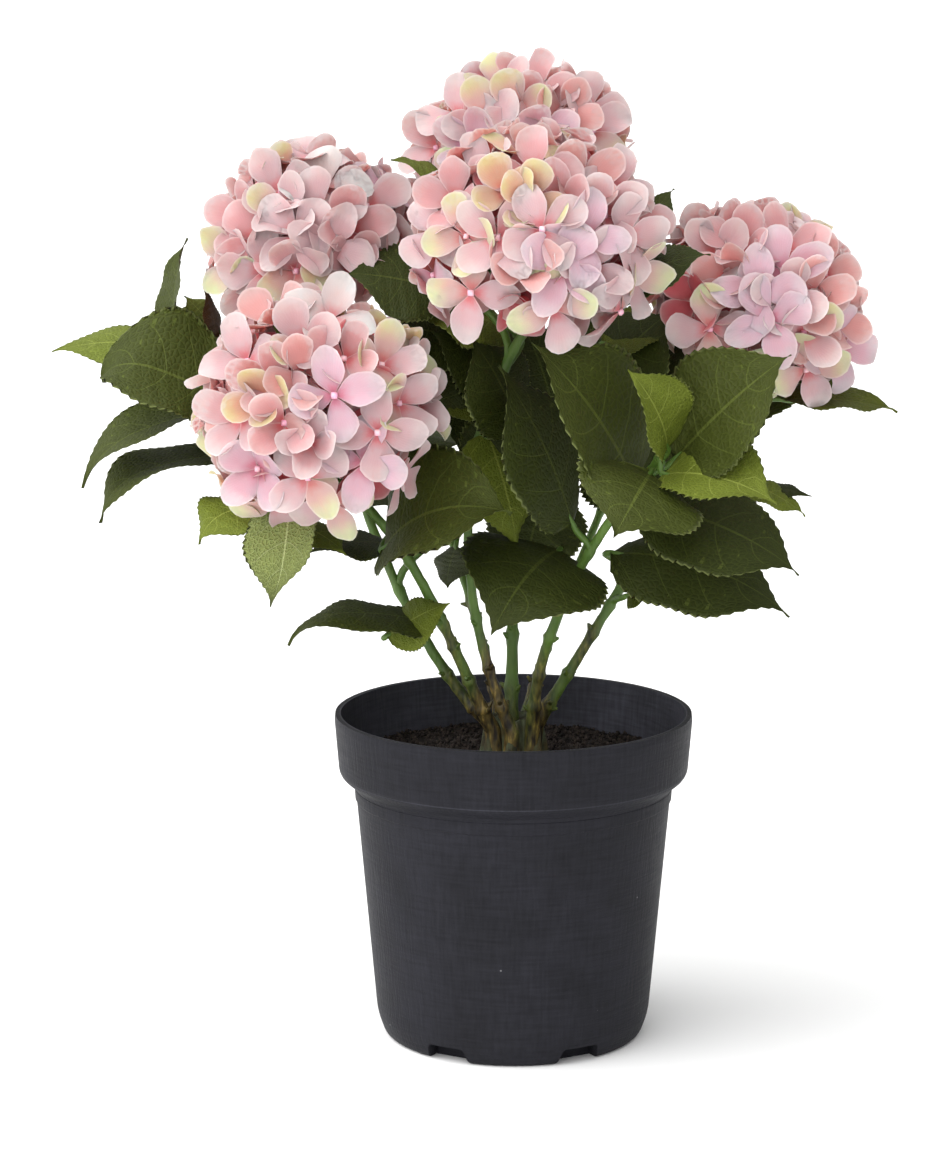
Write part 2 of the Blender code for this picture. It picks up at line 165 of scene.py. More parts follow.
def point_values(thing, name, kind, values):
    """Gives every point of a mesh its own value under a name."""
    field = thing.data.attributes.new(name, kind, "POINT")
    key = "vector" if kind == "FLOAT_VECTOR" else "value"
    flat = [n for v in values for n in v] if key == "vector" else values
    field.data.foreach_set(key, flat)


def lay_out(mesh, spots):
    """Lays the corners of a mesh's faces on the map."""
    mesh.uv_layers.new(name=MAP)
    mesh.uv_layers[MAP].uv.foreach_set("vector", [n for spot in spots for n in spot])


def bands(rows, sides):
    """Faces between rows of points, where each row runs round and meets itself."""
    return [(low + k, low + (k + 1) % sides, low + sides + (k + 1) % sides, low + sides + k)
            for low in range(0, rows * sides, sides) for k in range(sides)]


def around(angle):
    """The way to an angle in the flat."""
    return math.cos(angle), math.sin(angle)


def bezier(p, t):
    """The point at a share t of the curve with four handles."""
    u = 1 - t
    return p[0] * u ** 3 + p[1] * (3 * u * u * t) + p[2] * (3 * u * t * t) + p[3] * t ** 3


def dressed(thing, material):
    """Gives a piece one finish."""
    thing.data.materials.clear()
    thing.data.materials.append(material)


def worn_by(thing, slot, *nodes):
    """Puts a finished piece on the plant's one body, in place of the nodes it stands for."""
    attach(thing, "root")
    if nodes:
        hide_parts(*nodes)


# ---------------------------------------------------------------- view and light
CAMERA_AT = (-3.5, -1577.1, 497.0)
CAMERA_PITCH = -10.98      # degrees, looking slightly down on the rim
CAMERA_YAW = 0.488
CAMERA_LENS = 118.38       # on a 36 mm film, along the longer side of the picture
FLOOR_RADIUS = 40000.0
# the studio is brightest towards the left, the front and the ceiling, where the windows are
BRIGHT_SIDE = (-0.66, -0.36, 0.50)
ROOM_LIGHT = 0.77

camera_data = bpy.data.cameras.new("camera")
camera_data.lens = CAMERA_LENS
camera_data.sensor_width = 36.0
camera_data.clip_end = 200.0
camera = linked(bpy.data.objects.new("camera", camera_data))
camera.location = Vector(CAMERA_AT) * MM
camera.rotation_euler = (math.radians(90 + CAMERA_PITCH), 0, math.radians(CAMERA_YAW))
bpy.context.scene.camera = camera
bpy.context.scene.view_settings.view_transform = "Standard"

world = bpy.data.worlds.new("studio")
world.use_nodes = True
bpy.context.scene.world = world
room = world.node_tree
room.nodes["Background"].inputs["Color"].default_value = (1, 1, 1, 1)
toward = add(room, "TexCoord", out="Generated")
slope = add(room, "VectorMath DOT_PRODUCT", [toward, BRIGHT_SIDE], out=1)
glow = add(room, "Math ADD", [slope, ROOM_LIGHT])
room.links.new(glow, room.nodes["Background"].inputs["Strength"])


def lamp(name, turn, strength, spread):
    """A soft lamp; turn is its heading and its height over the floor, in degrees."""
    data = bpy.data.lights.new(name, "SUN")
    data.energy = strength
    data.angle = math.radians(spread)
    heading, height = (math.radians(a) for a in turn)
    way = Vector((math.cos(heading) * math.cos(height), math.sin(heading) * math.cos(height),
                  math.sin(height)))
    linked(bpy.data.objects.new(name, data)).rotation_euler = way.to_track_quat("Z", "Y").to_euler()


lamp("key", (194, 52), 2.0, 56)
lamp("fill", (254, 27), 0.85, 50)


# ---------------------------------------------------------------- materials
def finish(name, **numbers):
    """A material with its shader's plain numbers; names of sockets are given with underscores."""
    material = bpy.data.materials.new(name)
    material.use_nodes = True
    shader = material.node_tree.nodes["Principled BSDF"]
    for label, value in numbers.items():
        shader.inputs[label.replace("_", " ")].default_value = value
    return material, material.node_tree, shader


floor = mesh_object("floor", [(math.cos(a) * FLOOR_RADIUS, math.sin(a) * FLOOR_RADIUS, 0)
                              for a in [math.tau * k / 64 for k in range(64)]], [tuple(range(64))])
# dull white board, which takes a soft shadow and shows no gloss
dressed(floor, finish("matt_white_floor", Base_Color=linear("#FBFBFB"), Roughness=0.9,
                      Specular_IOR_Level=0.1)[0])


def coat(tree, shader, colour, height, depth, strength=1.0):
    """Links a colour, and a height with its depth in millimetres, to the shader."""
    tree.links.new(colour, shader.inputs["Base Color"])
    bump = add(tree, "Bump", {"Height": height, "Distance": depth * MM, "Strength": strength})
    tree.links.new(bump, shader.inputs["Normal"])


RIM_INSIDE = (72.5, 72.9)  # radii between which the pot's wall turns from its inside to its rim
PAINTED_LIGHT_LINE = 113.2          # height over which that wall is painted paler, as painted light


def moulded_polypropylene():
    """Polypropylene from an etched mould: near black, matt, with a faint weave of flow lines."""
    material, tree, shader = finish("polypropylene_moulded", Roughness=0.55, IOR=1.49,
                                    Specular_IOR_Level=0.08)
    place = add(tree, "TexCoord", out="Object")
    heights = []
    for pitch in ((1.2, 1.2, 16.0), (16.0, 16.0, 1.2)):
        stretched = add(tree, "VectorMath MULTIPLY", [place, [1 / (p * MM) for p in pitch]])
        heights.append(add(tree, "TexNoise", {"Vector": stretched, "Scale": 1.0, "Detail": 2.0}))
    weave = add(tree, "Math ADD", [heights[0], heights[1]])
    grain = add(tree, "TexNoise", {"Vector": place, "Scale": 1 / (0.7 * MM), "Detail": 2.0})
    relief = add(tree, "Math MULTIPLY_ADD", [grain, 0.5, weave])
    cloud = add(tree, "TexNoise", {"Vector": place, "Scale": 1 / (26 * MM), "Detail": 3.0})
    tone = add(tree, "MapRange", [cloud, 0.35, 0.65])
    colour = add(tree, "Mix", {0: tone, 6: linear("#1F1F23"), 7: linear("#232328")}, out=2,
                 data_type="RGBA")
    worn = add(tree, "MapRange", [weave, 0.7, 1.3, 0.78, 1.22])
    colour = add(tree, "VectorMath SCALE", {0: colour, "Scale": worn})
    # the wall inside the rim is painted up to 3.5 times paler: painted light that stands in for the light
    # falling into the pot
    flat = add(tree, "VectorMath MULTIPLY", [place, (1.0, 1.0, 0.0)])
    radius = add(tree, "VectorMath LENGTH", [flat], out=1)
    low, high = (r * MM for r in RIM_INSIDE)
    inside = add(tree, "MapRange", [radius, low, high, 1.0, 0.0])
    height = add(tree, "SeparateXYZ", [place], out="Z")
    raised = add(tree, "Math GREATER_THAN", [height, PAINTED_LIGHT_LINE * MM])
    inside = add(tree, "Math MULTIPLY", [inside, raised])
    painted_inner_light = add(tree, "MapRange", {0: inside, 3: 1.0, 4: 3.5})
    colour = add(tree, "VectorMath SCALE", {0: colour, "Scale": painted_inner_light})
    spot = add(tree, "TexVoronoi", {"Vector": place, "Scale": 1 / (13 * MM)})
    dust = add(tree, "Math LESS_THAN", [spot, 0.028])
    colour = add(tree, "Mix", {0: dust, 6: colour, 7: linear("#6E6E70")}, out=2, data_type="RGBA")
    gloss = add(tree, "MapRange", [weave, 0.7, 1.3, 0.47, 0.60])
    tree.links.new(gloss, shader.inputs["Roughness"])
    coat(tree, shader, colour, relief, 0.25, 0.9)
    return material


def coir_crumbs():
    """Crumbled coir and peat: nearly black brown, quite dull, a few paler fibres."""
    material, tree, shader = finish("coir_crumbs", Roughness=0.95, IOR=1.45, Specular_IOR_Level=0.25)
    place = add(tree, "TexCoord", out="Object")
    patch = add(tree, "TexNoise", {"Vector": place, "Scale": 1 / (3.2 * MM), "Detail": 3.0})
    tone = add(tree, "MapRange", [patch, 0.36, 0.72])
    colour = add(tree, "Mix", {0: tone, 6: linear("#1D1918"), 7: linear("#473D38")}, out=2,
                 data_type="RGBA")
    grain = add(tree, "TexNoise", {"Vector": place, "Scale": 1 / (0.8 * MM), "Detail": 4.0})
    coat(tree, shader, colour, grain, 0.6)
    return material


BARK_TO_GREEN = (138.0, 172.0)   # heights between which the painted bark gives way to green
BARK_RAGGED = 24.0         # how far fine noise moves that edge, so that it is ragged
BARK_REACH = 120.0         # how far broad noise moves it, so that it differs from stem to stem


def stem_polyethylene():
    """Polyethylene moulded over wire: waxy green with paint rubbed on for bark near the foot."""
    material, tree, shader = finish("stem_polyethylene", Roughness=0.55, IOR=1.50,
                                    Subsurface_Weight=0.08, Subsurface_Scale=1.0 * MM)
    place = add(tree, "TexCoord", out="Object")
    height = add(tree, "SeparateXYZ", [place], out="Z")
    streaky = add(tree, "VectorMath MULTIPLY", [place, (1.0, 1.0, 0.25)])
    patch = add(tree, "TexNoise", {"Vector": streaky, "Scale": 1 / (1.7 * MM), "Detail": 4.0})
    cloud = add(tree, "TexNoise", {"Vector": place, "Scale": 1 / (14 * MM), "Detail": 2.0})
    green = add(tree, "Mix", {0: cloud, 6: linear("#37521A"), 7: linear("#607F2E")}, out=2,
                data_type="RGBA")
    rough = add(tree, "MapRange", [patch, 0.36, 0.64])
    bark = add(tree, "Mix", {0: rough, 6: linear("#1D170A"), 7: linear("#625326")}, out=2, data_type="RGBA")
    fleck = add(tree, "MapRange", [patch, 0.60, 0.68])
    bark = add(tree, "Mix", {0: fleck, 6: bark, 7: linear("#87723A")}, out=2, data_type="RGBA")
    upright = add(tree, "VectorMath MULTIPLY", [place, (1.0, 1.0, 0.2)])
    reach = add(tree, "TexNoise", {"Vector": upright, "Scale": 1 / (15 * MM), "Detail": 0.0})
    wander = add(tree, "Math MULTIPLY_ADD", [patch, BARK_RAGGED * MM, height])
    wander = add(tree, "Math MULTIPLY_ADD", [reach, -BARK_REACH * MM, wander])
    # both noises are 0.5 on average
    low, high = ((h + 0.5 * (BARK_RAGGED - BARK_REACH)) * MM for h in BARK_TO_GREEN)
    turned = add(tree, "MapRange", [wander, low, high])
    colour = add(tree, "Mix", {0: turned, 6: bark, 7: green}, out=2, data_type="RGBA")
    coat(tree, shader, colour, patch, 0.6, 0.9)
    return material


def mossy_bark():
    """Moulded and painted bark with a grey green dusting of moss in its hollows."""
    material, tree, shader = finish("mossy_bark", Roughness=0.85, IOR=1.48)
    place = add(tree, "TexCoord", out="Object")
    streaky = add(tree, "VectorMath MULTIPLY", [place, (1.0, 1.0, 0.3)])
    patch = add(tree, "TexNoise", {"Vector": streaky, "Scale": 1 / (3.0 * MM), "Detail": 5.0})
    moss = add(tree, "TexNoise", {"Vector": place, "Scale": 1 / (9 * MM), "Detail": 4.0})
    rough = add(tree, "MapRange", [patch, 0.34, 0.66])
    bark = add(tree, "Mix", {0: rough, 6: linear("#120F08"), 7: linear("#4E4322")}, out=2, data_type="RGBA")
    share = add(tree, "MapRange", [moss, 0.38, 0.56])
    colour = add(tree, "Mix", {0: share, 6: bark, 7: linear("#4C523A")}, out=2, data_type="RGBA")
    coat(tree, shader, colour, patch, 2.0)
    return material


# leaf tints: name, upper side, its veins, underside, relief of the pressed cloth
LEAF_TINTS = (
    ("dark", "#2A310B", "#3F4719", "#404819", 0.35),
    ("deep", "#373E12", "#4E5722", "#4C5620", 0.40),
    ("olive", "#4F5716", "#646C29", "#646D2A", 0.45),
    ("young", "#5F6A21", "#828C3D", "#727D2E", 0.45),
    ("sage", "#737D44", "#A3AC74", "#828C53", 1.00),
    ("russet", "#4A3113", "#664726", "#5B3F1D", 0.50),
)
DARK, DEEP, OLIVE, YOUNG, SAGE, RUSSET = range(len(LEAF_TINTS))
SIDE_VEINS = 8
VEIN_LEAN = 0.13           # how far up the blade a side vein has come at the rim, in a straight line
VEIN_BOW = 0.12            # and how much further for its bend
# a blade or a petal fills this much of its cell on the map
CELL_ACROSS = 0.48         # on either side of the middle
CELL_ALONG = 0.96          # from a margin at the stalk's end
CELL_MARGIN = 0.02


def leaf_cloth(name, ground, vein, relief):
    """Printed polyester cloth, pressed in a leaf mould: dull, fibrous, pale veins and cut edge."""
    material, tree, shader = finish("leaf_polyester_" + name, Roughness=0.62, IOR=1.46,
                                    Specular_IOR_Level=0.20)
    spot = add(tree, "UVMap", uv_map=MAP)
    spot = add(tree, "VectorMath MULTIPLY", [spot, (len(LEAF_TINTS), 2, 1)])
    spot = add(tree, "VectorMath FRACTION", [spot])
    parts = add(tree, "SeparateXYZ", [spot], out=None).outputs
    across = add(tree, "Math MULTIPLY_ADD", [parts[0], 1 / CELL_ACROSS, -0.5 / CELL_ACROSS])
    across = add(tree, "Math ABSOLUTE", [across])
    along = add(tree, "Math MULTIPLY_ADD", [parts[1], 1 / CELL_ALONG, -CELL_MARGIN / CELL_ALONG])
    # the net of fine veins, about 2.4 mm from cell to cell on a leaf 50 mm wide
    net_place = add(tree, "VectorMath MULTIPLY", [spot, (21.0, 29.0, 1.0)])
    bent = add(tree, "TexNoise", {"Vector": net_place, "Scale": 0.5, "Detail": 2.0}, out=1)
    net_place = add(tree, "VectorMath MULTIPLY_ADD", [bent, (0.9, 0.9, 0.0), net_place])
    net = add(tree, "TexVoronoi", {"Vector": net_place, "Scale": 1.0}, feature="DISTANCE_TO_EDGE",
              voronoi_dimensions="2D")
    net_line = add(tree, "MapRange", [net, 0.02, 0.10, 1.0, 0.0])
    pillow = add(tree, "MapRange", [net, 0.0, 0.35], interpolation_type="SMOOTHSTEP")
    # side veins leave the middle one and bend towards the tip
    bow = add(tree, "Math MULTIPLY", [across, across])
    lean = add(tree, "Math MULTIPLY_ADD", [across, -VEIN_LEAN, along])
    lean = add(tree, "Math MULTIPLY_ADD", [bow, -VEIN_BOW, lean])
    beat = add(tree, "Math MULTIPLY", [lean, SIDE_VEINS + 1.0])
    beat = add(tree, "Math PINGPONG", [beat, 1.0])
    side_line = add(tree, "MapRange", [beat, 0.020, 0.055, 0.8, 0.0])
    reach = add(tree, "MapRange", [across, 0.62, 0.95, 1.0, 0.0])
    side_line = add(tree, "Math MULTIPLY", [side_line, reach])
    thin = add(tree, "MapRange", [along, 0.0, 1.0, 0.030, 0.020])
    mid_line = add(tree, "Math LESS_THAN", [across, thin])
    lines = add(tree, "Math MAXIMUM", [side_line, mid_line])
    rim = add(tree, "MapRange", [across, 0.955, 0.985])
    # loose fibres of the pressed cloth, drawn 0.5 mm wide so that they show
    fibre_place = add(tree, "VectorMath MULTIPLY", [spot, (110.0, 38.0, 1.0)])
    fibre = add(tree, "TexNoise", {"Vector": fibre_place, "Scale": 1.0, "Detail": 3.0, "Distortion": 1.5})
    patch = add(tree, "TexNoise", {"Vector": spot, "Scale": 5.0, "Detail": 2.0})
    shade = add(tree, "MapRange", [fibre, 0.3, 0.7, 0.86, 1.14])
    broad = add(tree, "MapRange", [patch, 0.3, 0.7, 0.90, 1.10])
    shade = add(tree, "Math MULTIPLY", [shade, broad])
    colour = add(tree, "VectorMath SCALE", {0: linear(ground)[:3], "Scale": shade})
    faint = add(tree, "Math MULTIPLY", [net_line, 0.35])
    cut = add(tree, "Math MULTIPLY", [rim, 0.50])
    for share, tint in ((faint, vein), (lines, vein), (cut, "#8A9358")):
        colour = add(tree, "Mix", {0: share, 6: colour, 7: linear(tint)}, out=2, data_type="RGBA")
    pressed = add(tree, "Math SUBTRACT", [pillow, lines])
    height = add(tree, "Math MULTIPLY_ADD", [fibre, 0.25, pressed])
    coat(tree, shader, colour, height, 0.5, relief)
    return material


# petal finishes: name, ground, throat (the dye's deeper pink, deepened further as painted shade), tip, where
# the tip's tint begins, how strong it is
PETAL_TINTS = (
    ("blush", "#BD989B", "#C9585E", "#C6B2B0", 0.50, 0.80),
    ("rose", "#BC8A8C", "#C44C4F", "#C2A3A2", 0.55, 0.70),
    ("salmon", "#BF8885", "#B6474A", "#C5A19D", 0.60, 0.60),
    ("cream", "#C19C97", "#CA6363", "#C0C291", 0.42, 0.95),
    ("peach", "#C29B86", "#C56058", "#C1B884", 0.50, 0.90),
    ("pale", "#C6AFAD", "#D17275", "#C8C4C0", 0.40, 0.80),
    ("lilac", "#C49CA7", "#C56479", "#C3B0B4", 0.55, 0.75),
    ("magenta", "#BD98A3", "#BB2F75", "#C5AFB2", 0.60, 0.70),
    # the deep tint is painted shade, for florets sunk in a head's hollows
    ("deep", "#CE626A", "#A8383F", "#CE8588", 0.65, 0.50),
)
BLUSH, ROSE, SALMON, CREAM, PEACH, PALE, LILAC, MAGENTA, SHADE_PAINTED_DEEP = range(len(PETAL_TINTS))
PETAL_CELLS = 3


def petal_silk(name, ground, throat, tip, tip_from, tip_share):
    """Dyed artificial silk, stiffened and pressed: soft sheen, pale cut rim, and a darker throat that is
    partly dye and partly painted shade.
    """
    material, tree, shader = finish("petal_silk_" + name, Roughness=0.60, IOR=1.46,
                                    Specular_IOR_Level=0.30, Sheen_Weight=0.05,
                                    Subsurface_Weight=0.48, Subsurface_Scale=2.0 * MM,
                                    Subsurface_Radius=(1.0, 0.50, 0.45))
    spot = add(tree, "UVMap", uv_map=MAP)
    spot = add(tree, "VectorMath MULTIPLY", [spot, (PETAL_CELLS, PETAL_CELLS, 1)])
    spot = add(tree, "VectorMath FRACTION", [spot])
    middle = add(tree, "VectorMath SUBTRACT", [spot, (0.5, 0.5, 0.0)])
    rim = add(tree, "VectorMath LENGTH", [middle], out=1)
    parts = add(tree, "SeparateXYZ", [spot], out=None).outputs
    side = add(tree, "SeparateXYZ", [middle], out=0)
    patch = add(tree, "TexNoise", {"Vector": spot, "Scale": 4.0, "Detail": 2.0})
    wander = add(tree, "Math MULTIPLY_ADD", [patch, 0.25, parts[1]])
    # the darker, redder throat is partly the silk's dye and partly painted shade at the petal's base
    throat_dye_and_shade = add(tree, "MapRange", [wander, 0.14, 0.52, 1.0, 0.0], interpolation_type="SMOOTHSTEP")
    at_tip = add(tree, "MapRange", [wander, tip_from + 0.10, 1.08, 0.0, tip_share],
                 interpolation_type="SMOOTHSTEP")
    at_rim = add(tree, "MapRange", [rim, 0.42, 0.478, 0.0, 0.36])
    # fine pleats that fan out from the throat
    fan = add(tree, "Math ARCTAN2", [side, parts[1]])
    ripple = add(tree, "Math MULTIPLY", [patch, 6.0])
    fan = add(tree, "Math MULTIPLY_ADD", [fan, 56.0, ripple])
    fan = add(tree, "Math SINE", [fan])
    shade = add(tree, "MapRange", [fan, -1.0, 1.0, 0.985, 1.010])
    colour = add(tree, "VectorMath SCALE", {0: linear(ground)[:3], "Scale": shade})
    for share, tint in ((at_tip, tip), (throat_dye_and_shade, throat), (at_rim, "#EBD8D5")):
        colour = add(tree, "Mix", {0: share, 6: colour, 7: linear(tint)}, out=2, data_type="RGBA")
    # the silk's thread is 0.15 mm apart; it is drawn at 0.5 mm so that it shows
    place = add(tree, "TexCoord", out="Object")
    thread = add(tree, "TexNoise", {"Vector": place, "Scale": 1 / (0.5 * MM), "Detail": 2.0})
    height = add(tree, "Math MULTIPLY_ADD", [fan, 0.15, thread])
    coat(tree, shader, colour, height, 0.10, 0.4)
    return material


def knob_resin():
    """The small moulded knob in the middle of a floret: waxy pale pink."""
    material, tree, shader = finish("knob_resin", Roughness=0.45, IOR=1.50, Subsurface_Weight=0.2,
                                    Subsurface_Scale=1.0 * MM)
    place = add(tree, "TexCoord", out="Object")
    cloud = add(tree, "TexNoise", {"Vector": place, "Scale": 1 / (9 * MM), "Detail": 1.0})
    tone = add(tree, "MapRange", [cloud, 0.4, 0.6])
    colour = add(tree, "Mix", {0: tone, 6: linear("#EDB4CB"), 7: linear("#F3CBD3")}, out=2,
                 data_type="RGBA")
    coat(tree, shader, colour, cloud, 0.1, 0.2)
    return material


POT_FINISH = moulded_polypropylene()
SOIL_FINISH = coir_crumbs()
STEM_FINISH = stem_polyethylene()
BARK_FINISH = mossy_bark()
KNOB_FINISH = knob_resin()
PETAL_FINISHES = [petal_silk(*row) for row in PETAL_TINTS]
LEAF_UPPER = [leaf_cloth(name, upper, vein, relief) for name, upper, vein, under, relief in LEAF_TINTS]
LEAF_UNDER = [leaf_cloth(name + "_under", under, vein, relief * 1.5)
              for name, upper, vein, under, relief in LEAF_TINTS]

# ---------------------------------------------------------------- pot
POT_SIDES = 144
CORNER_STEPS = 4
# radius, height and the fillet at that corner
POT_OUTSIDE = ((0, 0, 0), (54.0, 0, 3.0), (57.4, 9.0, 8.0), (65.8, 101.2, 0.3), (66.4, 101.6, 0.4),
               (66.8, 108.0, 1.6), (73.0, 112.6, 2.6), (74.9, 135.4, 1.0), (74.6, 138.0, 1.4))
POT_INSIDE = ((72.3, 138.0, 1.2), (72.0, 134.6, 1.0), (70.6, 112.6, 3.0), (64.2, 105.6, 3.0),
              (54.0, 12.0, 4.0), (50.5, 9.0, 3.0), (0, 9.0, 0))
GROOVE_HEIGHT = 106.6      # a fine line round the body, under the collar
GROOVE_DEPTH = 0.2
GROOVE_HALF = 0.5          # half its width
NOTCHES = 6
NOTCH_FOOT = 9.8           # half a drainage notch's width at the foot
NOTCH_TOP = 8.6
NOTCH_HEIGHT = 7.0
NOTCH_ROUND = 2.0
NOTCH_RADII = (46.5, 70.0)
SHARP_CORNER = 32          # degrees between two faces from which their edge looks sharp


def filleted(corners):
    """The (radius, height) line through the corners, each turned into an arc."""
    line = []
    for i, (r, z, fillet) in enumerate(corners):
        here = Vector((r, z))
        if not fillet or i in (0, len(corners) - 1):
            line.append(here)
            continue
        back, ahead = (Vector(corners[k][:2]) - here for k in (i - 1, i + 1))
        cut = min(fillet, back.length * 0.45, ahead.length * 0.45)
        start = here + back.normalized() * cut
        end = here + ahead.normalized() * cut
        for t in (k / CORNER_STEPS for k in range(CORNER_STEPS + 1)):
            line.append(start * (1 - t) ** 2 + here * (2 * t * (1 - t)) + end * t * t)
    return line


def grooved(line):
    """Cuts the fine groove into the outside line."""
    cut = []
    for a, b in zip(line, line[1:]):
        cut.append(a)
        if a.y < GROOVE_HEIGHT < b.y:
            for dz, depth in ((-GROOVE_HALF, 0), (0, GROOVE_DEPTH), (GROOVE_HALF, 0)):
                t = (GROOVE_HEIGHT + dz - a.y) / (b.y - a.y)
                if 0 < t < 1:
                    cut.append(Vector((a.x + (b.x - a.x) * t - depth, GROOVE_HEIGHT + dz)))
    return cut + [line[-1]]


def turned(name, line, sides):
    """A closed solid turned from a line that starts and ends on the axis."""
    points = []
    faces = []
    rings = []
    for r, z in line:
        count = sides if r > 0 else 1
        rings.append(range(len(points), len(points) + count))
        for a in (math.tau * k / sides for k in range(count)):
            points.append((r * math.cos(a), r * math.sin(a), z))
    for low, high in zip(rings, rings[1:]):
        for k in range(sides):
            n = (k + 1) % sides
            face = (low[k % len(low)], low[n % len(low)], high[n % len(high)], high[k % len(high)])
            faces.append(tuple(dict.fromkeys(face)))
    return mesh_object(name, points, faces)


def notch_cutter():
    """Rounded drainage notches under the foot, joined as one cutter."""
    outline = [(-NOTCH_FOOT, -6.0), (NOTCH_FOOT, -6.0), (NOTCH_FOOT, 0.0)]
    for side in (1, -1):
        for k in range(5):
            a = math.radians(90 * (k / 4 if side > 0 else 1 - k / 4))
            outline.append((side * (NOTCH_TOP + NOTCH_ROUND * (math.cos(a) - 1)),
                            NOTCH_HEIGHT + NOTCH_ROUND * (math.sin(a) - 1)))
    outline.append((-NOTCH_FOOT, 0.0))
    points = []
    faces = []
    count = len(outline)
    for k in range(NOTCHES):
        turn = Matrix.Rotation(math.radians(-90 + (k + 0.5) * 360 / NOTCHES), 3, "Z")
        first = len(points)
        for r in NOTCH_RADII:
            points.extend(turn @ Vector((r, x, z)) for x, z in outline)
        faces.append(tuple(first + i for i in range(count)))
        faces.append(tuple(first + count + i for i in reversed(range(count))))
        for i in range(count):
            n = (i + 1) % count
            faces.append((first + i, first + count + i, first + count + n, first + n))
    return closed(mesh_object("notch_cutter", points, faces))


def make_pot():
    """The turned pot, with its drainage notches cut into the foot."""
    line = grooved(filleted(POT_OUTSIDE)) + filleted(POT_INSIDE)
    pot = closed(turned("pot_moulded", line, POT_SIDES))
    cutter = notch_cutter()
    cut = pot.modifiers.new("notches", "BOOLEAN")
    cut.operation = "DIFFERENCE"
    cut.solver = "EXACT"
    cut.object = cutter
    plain_mesh(pot)
    bpy.data.objects.remove(cutter)
    dressed(smooth(pot, SHARP_CORNER), POT_FINISH)
    worn_by(pot, "pot_plastic", "pot")


make_pot()

# ---------------------------------------------------------------- filling
SOIL_TOP = 118.0
SOIL_RADIUS = 69.8
# radius and height of the filling's corners, just inside the pot's wall
SOIL_SIDE = ((0, 9.3), (50.2, 9.3), (53.4, 13.2), (62.9, 104.5), (69.4, 113.0))
BED_DEPTH = 0.8            # how far the bed lies under the crumbs' own surface
BED_RINGS = 26
BED_SIDES = 72
FIELD_RINGS = 24
FIELD_SIDES = 48
CRUMB_SIZE = 2.6
CRUMB_COUNT = 3200
WALL_GAP = 0.6             # between the crumbs' middles and the filling's edge


def soil_height(x, y):
    """The height of the loose, uneven top of the filling."""
    wave = math.sin(x * 0.11 + 0.7) * math.cos(y * 0.13 - 0.4) + 0.5 * math.sin(x * 0.23 - y * 0.19)
    return SOIL_TOP - 0.6 + 1.1 * wave


def crumb_tree():
    """Scatters small lumps over a face, each turned and sized by a fixed seed."""
    tree, given = new_tree("crumb_scatter", (("Lump", "Object", None), ("Count per m2", "Float", 1.0),
                                             ("Size", "Float", CRUMB_SIZE * MM), ("Seed", "Int", 4),
                                             ("Finish", "Material", None)))
    spots = add(tree, "GeometryNodeDistributePointsOnFaces",
                {"Mesh": given["Geometry"], "Density": given["Count per m2"], "Seed": given["Seed"]})
    lump = add(tree, "GeometryNodeObjectInfo", {"Object": given["Lump"]}, out="Geometry")
    turn = add(tree, "FunctionNodeRandomValue", {0: (0, 0, 0), 1: (math.tau,) * 3, "Seed": given["Seed"]},
               data_type="FLOAT_VECTOR")
    grow = add(tree, "FunctionNodeRandomValue", {2: 0.35, 3: 1.0, "Seed": given["Seed"]}, out=1,
               data_type="FLOAT")
    grow = add(tree, "Math POWER", [grow, 1.6])
    grow = add(tree, "Math MULTIPLY", [grow, given["Size"]])
    turn = add(tree, "FunctionNodeEulerToRotation", [turn])
    lumps = add(tree, "GeometryNodeInstanceOnPoints",
                {"Points": spots, "Instance": lump, "Rotation": turn, "Scale": grow})
    joined = add(tree, "GeometryNodeJoinGeometry", [lumps])
    real = add(tree, "GeometryNodeRealizeInstances", [joined])
    real = add(tree, "GeometryNodeSetShadeSmooth", [real])
    real = add(tree, "GeometryNodeSetMaterial", {0: real, "Material": given["Finish"]})
    add(tree, "NodeGroupOutput", [real], out=None)
    return tree


def lump_shape():
    """One unit lump of a few faces, dented by a fixed seed."""
    shape = bmesh.new()
    bmesh.ops.create_icosphere(shape, subdivisions=1, radius=0.5)
    rng = random.Random(3)
    for point in shape.verts:
        point.co *= rng.uniform(0.7, 1.15)
        point.co.z *= 0.75
    mesh = bpy.data.meshes.new("lump")
    shape.to_mesh(mesh)
    shape.free()
    return linked(bpy.data.objects.new("lump", mesh))


def open_disc(radius, rings, sides):
    """The filling's open top, to scatter crumbs on: points in metres, edges and faces."""
    points = [(0, 0, soil_height(0, 0) * MM)]
    faces = []
    for i in range(1, rings + 1):
        for k in range(sides):
            x, y = (radius * i / rings * c for c in around(math.tau * k / sides))
            points.append((x * MM, y * MM, soil_height(x, y) * MM))
    for k in range(sides):
        n = (k + 1) % sides
        faces.append((0, 1 + k, 1 + n))
        for low in range(1, 1 + (rings - 1) * sides, sides):
            faces.append((low + k, low + sides + k, low + sides + n, low + n))
    return points, [], faces


